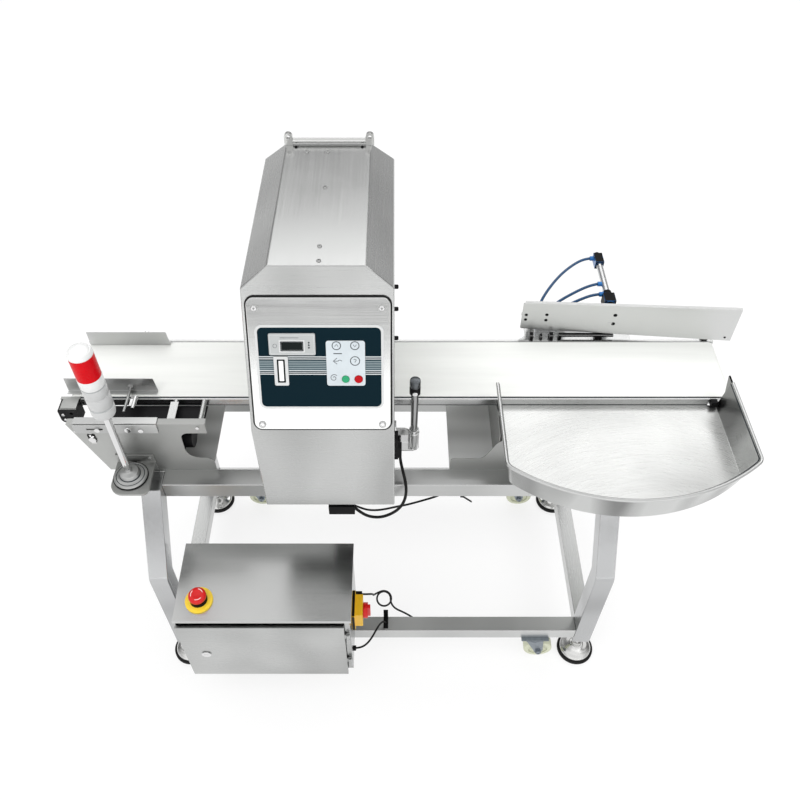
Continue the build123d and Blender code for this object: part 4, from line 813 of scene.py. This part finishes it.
stroke("key_arrow_a", [(-77.4, 159.6), (-84.4, 153.6), (-77.4, 147.6)], 1.1, *K, PANEL, "ink", b)
stroke("key_arrow_b", [(-83.4, 153.6), (-76.0, 153.6), (-72.0, 156.0), (-68.4, 153.6)], 1.1, *K, PANEL, "ink", b)
swirl = [(-84.0 + r * math.cos(a), 119.6 + r * math.sin(a)) for r, a in
         [(7.6 - 0.42 * i, math.radians(40 + 34 * i)) for i in range(15)]]
stroke("key_swirl", swirl, 1.0, *K, PANEL, "ink", b)
skin("start_key", "green", 0.5)
skin("stop_key", "key_red", 0.5)

skin("head_fasteners", lambda b0, b1, c, n: "bright", 0.5,
     drop=lambda b0, b1: b1[1] < -60 and b1[2] > 880 or (b1[2] - b0[2] < 4 and b1[0] - b0[0] < 12) or b0[0] > 29)
b = body_name("head_fasteners")
k = 0
for x in (-226.0, 7.0):
    for s_ in (21.0, 256.0):
        lathe("panel_washer_%d" % k, [(7.4, 0), (7.4, 0.7), (6.9, 1.0), (3.0, 1.0)], PANEL @ at(x, s_, 5.45), "base_grey", b, seg=36)
        domed("panel_screw_%d" % k, PANEL @ at(x, s_, 5.9), 5.9, 3.4, "chrome", b, ("head_fasteners",))
        k += 1
for k, (x, y) in enumerate(((-110, 309), (-154, 309), (-108, 179), (-107, -10), (-106, -52))):
    domed("top_bolt_%d" % k, at(x, y, 1188), 4.4, 2.6, "base_grey", b, ("head_fasteners",))
for k, (y, z) in enumerate(((-40, 1117.6), (-60, 1080), (-85, 1028))):
    lathe("side_bolt_%d" % k, [(0, 7.8), (2.6, 7.8), (3.8, 7.0), (4.2, 5.6), (4.2, 0)], facing((30, y, z), "x"), "black", b, ("head_fasteners",), seg=28)
for k, x in enumerate((-178.0, -38.0)):
    domed("bar_screw_%d" % k, at(x, 329, 1188), 3.4, 2.8, "black", b)

# ---------------------------------------------------------------- electrical box
# Roof, sides and front of the box share one stainless; the brush direction follows the face, and the lighter roof and
# darker front and door are painted light and shade.
def ebox(b0, b1, c, n):
    if c[2] > 398.4:
        return "roof"
    return "satin_z" if abs(n.x) > 0.7 else "door"


skin("ebox_body", ebox, 0.7)
skin("ebox_door", "door", 0.7)
skin("door_lock", "chrome", 0.5)
slope = math.atan2(416.0 - 408.6, -166.0 + 366.0)
EX, EY = -421.0, -315.0
EZ = 408.6 + (EY + 366.0) * math.tan(slope)
E = Matrix.Translation((EX, EY, EZ)) @ Matrix.Rotation(slope, 4, "X")
b = body_name("estop_base")
lathe("estop_disc", [(0, 0.1), (31.6, 0.1), (32, 0.6), (32, 4.2), (31.4, 5.0), (20.2, 5.2)], E, "yellow", b, ("estop_base",), seg=72)
lathe("estop_neck", [(20.0, 5.0), (19.6, 5.6), (18.8, 12.2), (17.8, 12.9), (11.2, 13.0), (11.0, 6.0)], E, "black", b, ("estop_base",), seg=56)
b = body_name("estop_button")
lathe("estop_cap", [(10.6, 5.2), (10.6, 17), (14.6, 18.2), (18.6, 19.3), (20.1, 20.6), (20.5, 22.4), (20.5, 25.6), (19.9, 28.4), (18.6, 30.4), (16.2, 31.9),
                    (11.4, 32.9), (9.6, 32.6), (8.6, 32.2), (0, 32.2)], E, "red", b, ("estop_button",), seg=72)
for k in range(3):
    a0 = math.radians(120 * k + 20)
    pts = [(13.6 * math.cos(a0 + math.radians(9 * i)), 13.6 * math.sin(a0 + math.radians(9 * i))) for i in range(8)]
    stroke("estop_arrow_%d" % k, pts, 1.3, 32.3, 32.75, E, "bar", b)
skin("isolator_base", lambda b0, b1, c, n: "amber" if c[0] > -64.9 else "black", 0.9)
skin("isolator_knob", "red", 0.9)

# ---------------------------------------------------------------- collecting tray
# Floor, walls and rolled rim of one sheet: the walls get a darker copy of the steel with strong bands, painted shade
# and reflection.
def tray(b0, b1, c, n):
    if c[2] > 809.5 and abs(n.z) > 0.35 or c[2] > 810.5:
        return "rim"
    if n.z > 0.9 and c[2] < 742:
        return "tray"
    return "wall"


skin("collecting_tray", tray, 0.7, roll=(809.5, 811.6))


def rim_path(x0, x1, yf, dy, y_back, r):
    """Outline of the tray seen from above: straight sides, filleted corners and the bowed front."""
    a, m, e = Vector((x0, -226.0 + dy)), Vector((514.0, yf)), Vector((x1, -214.0 + dy))
    d = 2 * (a.x * (m.y - e.y) + m.x * (e.y - a.y) + e.x * (a.y - m.y))
    qa, qm, qe = a.length_squared, m.length_squared, e.length_squared
    C = Vector(((qa * (m.y - e.y) + qm * (e.y - a.y) + qe * (a.y - m.y)) / d,
                (qa * (e.x - m.x) + qm * (a.x - e.x) + qe * (m.x - a.x)) / d))
    R = (a - C).length
    pts = [(x0, y_back)]
    fl_ = Vector((x0 + r, C.y - math.sqrt((R - r) ** 2 - (x0 + r - C.x) ** 2)))
    fr_ = Vector((x1 - r, C.y - math.sqrt((R - r) ** 2 - (x1 - r - C.x) ** 2)))
    for k in range(1, 12):
        pts.append((x0, y_back + (fl_.y - y_back) * k / 12.0))
    al = math.atan2(fl_.y - C.y, fl_.x - C.x)
    ar = math.atan2(fr_.y - C.y, fr_.x - C.x)
    for k in range(9):
        t_ = -math.pi + (al + math.pi) * k / 8.0
        pts.append((fl_.x + r * math.cos(t_), fl_.y + r * math.sin(t_)))
    for k in range(1, 48):
        t_ = al + (ar - al) * k / 48.0
        pts.append((C.x + R * math.cos(t_), C.y + R * math.sin(t_)))
    for k in range(9):
        t_ = ar + (0.0 - ar) * k / 8.0
        pts.append((fr_.x + r * math.cos(t_), fr_.y + r * math.sin(t_)))
    for k in range(11, -1, -1):
        pts.append((x1, y_back + (fr_.y - y_back) * k / 12.0))
    return pts


def bead(name, path, z, r, key, body, nodes, around=14):
    """Rolled edge: a round section swept along a level path."""
    bm = bmesh.new()
    rings = []
    for i, (x, y) in enumerate(path):
        p0, p1 = path[max(0, i - 1)], path[min(len(path) - 1, i + 1)]
        d = math.hypot(p1[0] - p0[0], p1[1] - p0[1])
        nx, ny = -(p1[1] - p0[1]) / d, (p1[0] - p0[0]) / d
        rings.append([bm.verts.new(row(x + nx * r * math.cos(q), y + ny * r * math.cos(q), z + r * math.sin(q)))
                      for q in (2 * math.pi * k / around for k in range(around))])
    for ra, rb in zip(rings, rings[1:]):
        for k in range(around):
            j = (k + 1) % around
            bm.faces.new((ra[k], ra[j], rb[j], rb[k]))
    bm.faces.new(rings[0])
    bm.faces.new(list(reversed(rings[-1])))
    return finish_mesh(name, bm, key, body, nodes, sharp=60, weighted=False)


bead("tray_rolled_edge", rim_path(257.0 - 1.0, 771.0 + 1.0, -312.0, -1.0, -3.0, 22.5), 811.2, 3.8, "rim",
     body_name("collecting_tray"), ("collecting_tray",))
# thin dark beads just under the rolled edge, outside and inside: painted shadow of the roll
bead("tray_rim_painted_shadow_outer", rim_path(256.6, 771.4, -311.4, -0.4, -3.0, 22.2), 807.3, 1.3, "ink", body_name("collecting_tray"), ())
bead("tray_rim_painted_shadow_inner", rim_path(260.0, 768.0, -308.0, 3.0, -3.0, 20.0), 809.0, 1.1, "ink", body_name("collecting_tray"), ())

# ---------------------------------------------------------------- photo sensor
skin("sensor_post", "chrome", 0.7)
b = body_name("sensor_head")
SX, SY = 74.0, -40.0
lathe("sensor_rod", [(8.0, 642), (8.0, 821)], at(SX, SY), "dark_chrome", b, ("sensor_head",), seg=40)
lathe("sensor_band", [(7.9, 820), (11.0, 820.2), (11.9, 821.4), (11.9, 842.6), (11.3, 843.4)], at(SX, SY), "black", b, ("sensor_head",), seg=48)
lathe("sensor_cap", [(11.3, 843.2), (11.9, 844.0), (11.9, 859.2), (11.2, 861.2), (9.6, 862.0), (0, 862.0)], at(SX, SY), "sensor", b, ("sensor_head",), seg=48)
lathe("sensor_window", [(5.4, -2.4), (5.4, 1.0), (4.8, 1.6), (0, 1.9)], facing((SX, SY - 11.8, 829), "-y"), "bar", b, seg=32)

# ---------------------------------------------------------------- swing-arm rejecter
def reject(b0, b1, c, n):
    if b1[0] - b0[0] > 200 and 741.02 < c[2] < 766 and c[1] < 210:
        return "black"
    if b1[0] < 570 and b0[0] > 400:
        return "black" if b1[2] < 770 else "alu"
    if b0[0] > 700:
        return "black"
    return "satin_x"


skin("reject_bracket", reject, 0.5)
skin("reject_arm", lambda b0, b1, c, n: "arm", 0.4)
ARM = Matrix.Translation((333.0, 219.0, 0)) @ Matrix.Rotation(math.atan2(175.0 - 219.0, 828.5 - 333.0), 4, "Z")
for k, (x, z, r) in enumerate(((10, 812, 3.2), (10, 797, 3.2), (58, 816, 3.4), (58, 799, 3.4), (216, 827, 4), (216, 800, 4), (482, 778, 2))):
    domed("arm_screw_%d" % k, ARM @ facing((x, 0.2, z), "-y"), r + 0.7, 1.5, "black", body_name("reject_arm"))


def cylinder(b0, b1, c, n):
    x, y = c[0], c[1]
    if x < 553 - 8.3 and (abs(y - 446) < 7 or abs(y - 345) < 7 or abs(y - 306) < 7) and abs(c[2] - 800) < 6.6:
        return "fitting"
    if y > 416 or y < 314:
        return "black"
    return "alu"


skin("cylinder_barrel", cylinder, 0.4)
skin("cylinder_rod", "chrome", 0.3)
skin("air_fittings", lambda b0, b1, c, n: "fitting" if c[1] > 262.5 else "alu", 0.5)


def cable_bits(b0, b1, c, n):
    if b1[2] - b0[2] > 55 and b0[2] > 600:
        return "black"
    if b1[2] < 170:
        return "rubber" if b1[0] - b0[0] < 20 and b0[0] < 20 else "black"
    return "black"


skin("cable_fittings", cable_bits, 0.6)

# ---------------------------------------------------------------- floor and light
bm = bmesh.new()
rim = [bm.verts.new((14.0 * math.cos(2 * math.pi * i / 96), 14.0 * math.sin(2 * math.pi * i / 96), 0.0)) for i in range(96)]
bm.faces.new(rim)
me = bpy.data.meshes.new("floor")
bm.to_mesh(me)
bm.free()
t = Tree("floor_white", (0.26, 0.26, 0.26), 0.9, 0.0)
t.b.inputs["Emission Color"].default_value = (1.0, 1.0, 1.0, 1.0)
t.b.inputs["Emission Strength"].default_value = 0.74
n = t.noise((0.8, 0.8, 0.8), 3.0, 0.5)
t.b.inputs["Specular IOR Level"].default_value = 0.0
t.color(t.tint(n, (0.258, 0.258, 0.258), (0.262, 0.262, 0.262)))
me.materials.append(t.m)
floor = bpy.data.objects.new("floor", me)
floor.location.z = -0.0005
scene.collection.objects.link(floor)

world = bpy.data.worlds.new("studio")
scene.world = world
world.use_nodes = True
nt = world.node_tree
bg = nt.nodes["Background"]
tc = nt.nodes.new("ShaderNodeTexCoord")
sep = nt.nodes.new("ShaderNodeSeparateXYZ")
nt.links.new(tc.outputs["Generated"], sep.inputs[0])


def sky(stops):
    r = nt.nodes.new("ShaderNodeValToRGB")
    els = r.color_ramp.elements
    top = max(v for _, v in stops)
    els[0].position, els[0].color = stops[0][0], (stops[0][1],) * 3 + (1,)
    els[1].position, els[1].color = stops[-1][0], (stops[-1][1],) * 3 + (1,)
    for p, v in stops[1:-1]:
        e = els.new(p)
        e.color = (v, v, v, 1)
    nt.links.new(sep.outputs[2], r.inputs["Fac"])
    return r.outputs["Color"]


back = sky([(0.0, 0.55), (0.25, 0.36), (0.48, 0.44), (0.56, 0.60), (0.61, 1.2), (0.64, 2.8), (0.69, 2.6), (0.72, 0.9), (0.745, 0.9), (0.78, 1.5), (0.82, 1.3), (0.86, 0.85), (0.93, 1.1), (1.0, 0.8)])
front = sky([(0.0, 2.4), (0.035, 1.7), (0.07, 0.9), (0.11, 0.42), (0.14, 0.42), (0.17, 0.8), (0.20, 1.6), (0.30, 1.6), (0.45, 1.0), (0.6, 1.2), (1.0, 0.9)])
blend = nt.nodes.new("ShaderNodeMapRange")
blend.inputs["From Min"].default_value = -0.2
blend.inputs["From Max"].default_value = 0.2
nt.links.new(sep.outputs[1], blend.inputs["Value"])
mix = nt.nodes.new("ShaderNodeMix")
mix.data_type = "RGBA"
nt.links.new(blend.outputs["Result"], mix.inputs[0])
nt.links.new(front, mix.inputs[6])
nt.links.new(back, mix.inputs[7])
ab = nt.nodes.new("ShaderNodeMath")
ab.operation = "ABSOLUTE"
nt.links.new(sep.outputs[0], ab.inputs[0])
side = nt.nodes.new("ShaderNodeMapRange")
for k_, v_ in (("From Min", 0.55), ("From Max", 0.85), ("To Min", 1.0), ("To Max", 0.55)):
    side.inputs[k_].default_value = v_
nt.links.new(ab.outputs[0], side.inputs["Value"])
dim = nt.nodes.new("ShaderNodeVectorMath")
dim.operation = "SCALE"
nt.links.new(mix.outputs[2], dim.inputs[0])
nt.links.new(side.outputs["Result"], dim.inputs["Scale"])
nt.links.new(dim.outputs["Vector"], bg.inputs["Color"])
bg.inputs["Strength"].default_value = 1.0


def softbox(name, loc, target, size, power, glossy=True):
    L = bpy.data.lights.new(name, "AREA")
    L.shape = "RECTANGLE"
    L.size, L.size_y = size
    L.energy = power
    ob = bpy.data.objects.new(name, L)
    ob.location = loc
    ob.rotation_euler = (Vector(target) - Vector(loc)).to_track_quat("-Z", "Y").to_euler()
    ob.visible_glossy = glossy
    scene.collection.objects.link(ob)


softbox("key", (-1.6, -1.5, 3.6), (0, 0, 0.6), (2.6, 2.2), 34, glossy=False)
softbox("fill", (2.2, -0.8, 3.0), (0, 0, 0.6), (2.2, 2.2), 20, glossy=False)
softbox("top", (0.0, 1.4, 3.8), (0, 0, 0.6), (3.5, 2.0), 18, glossy=False)
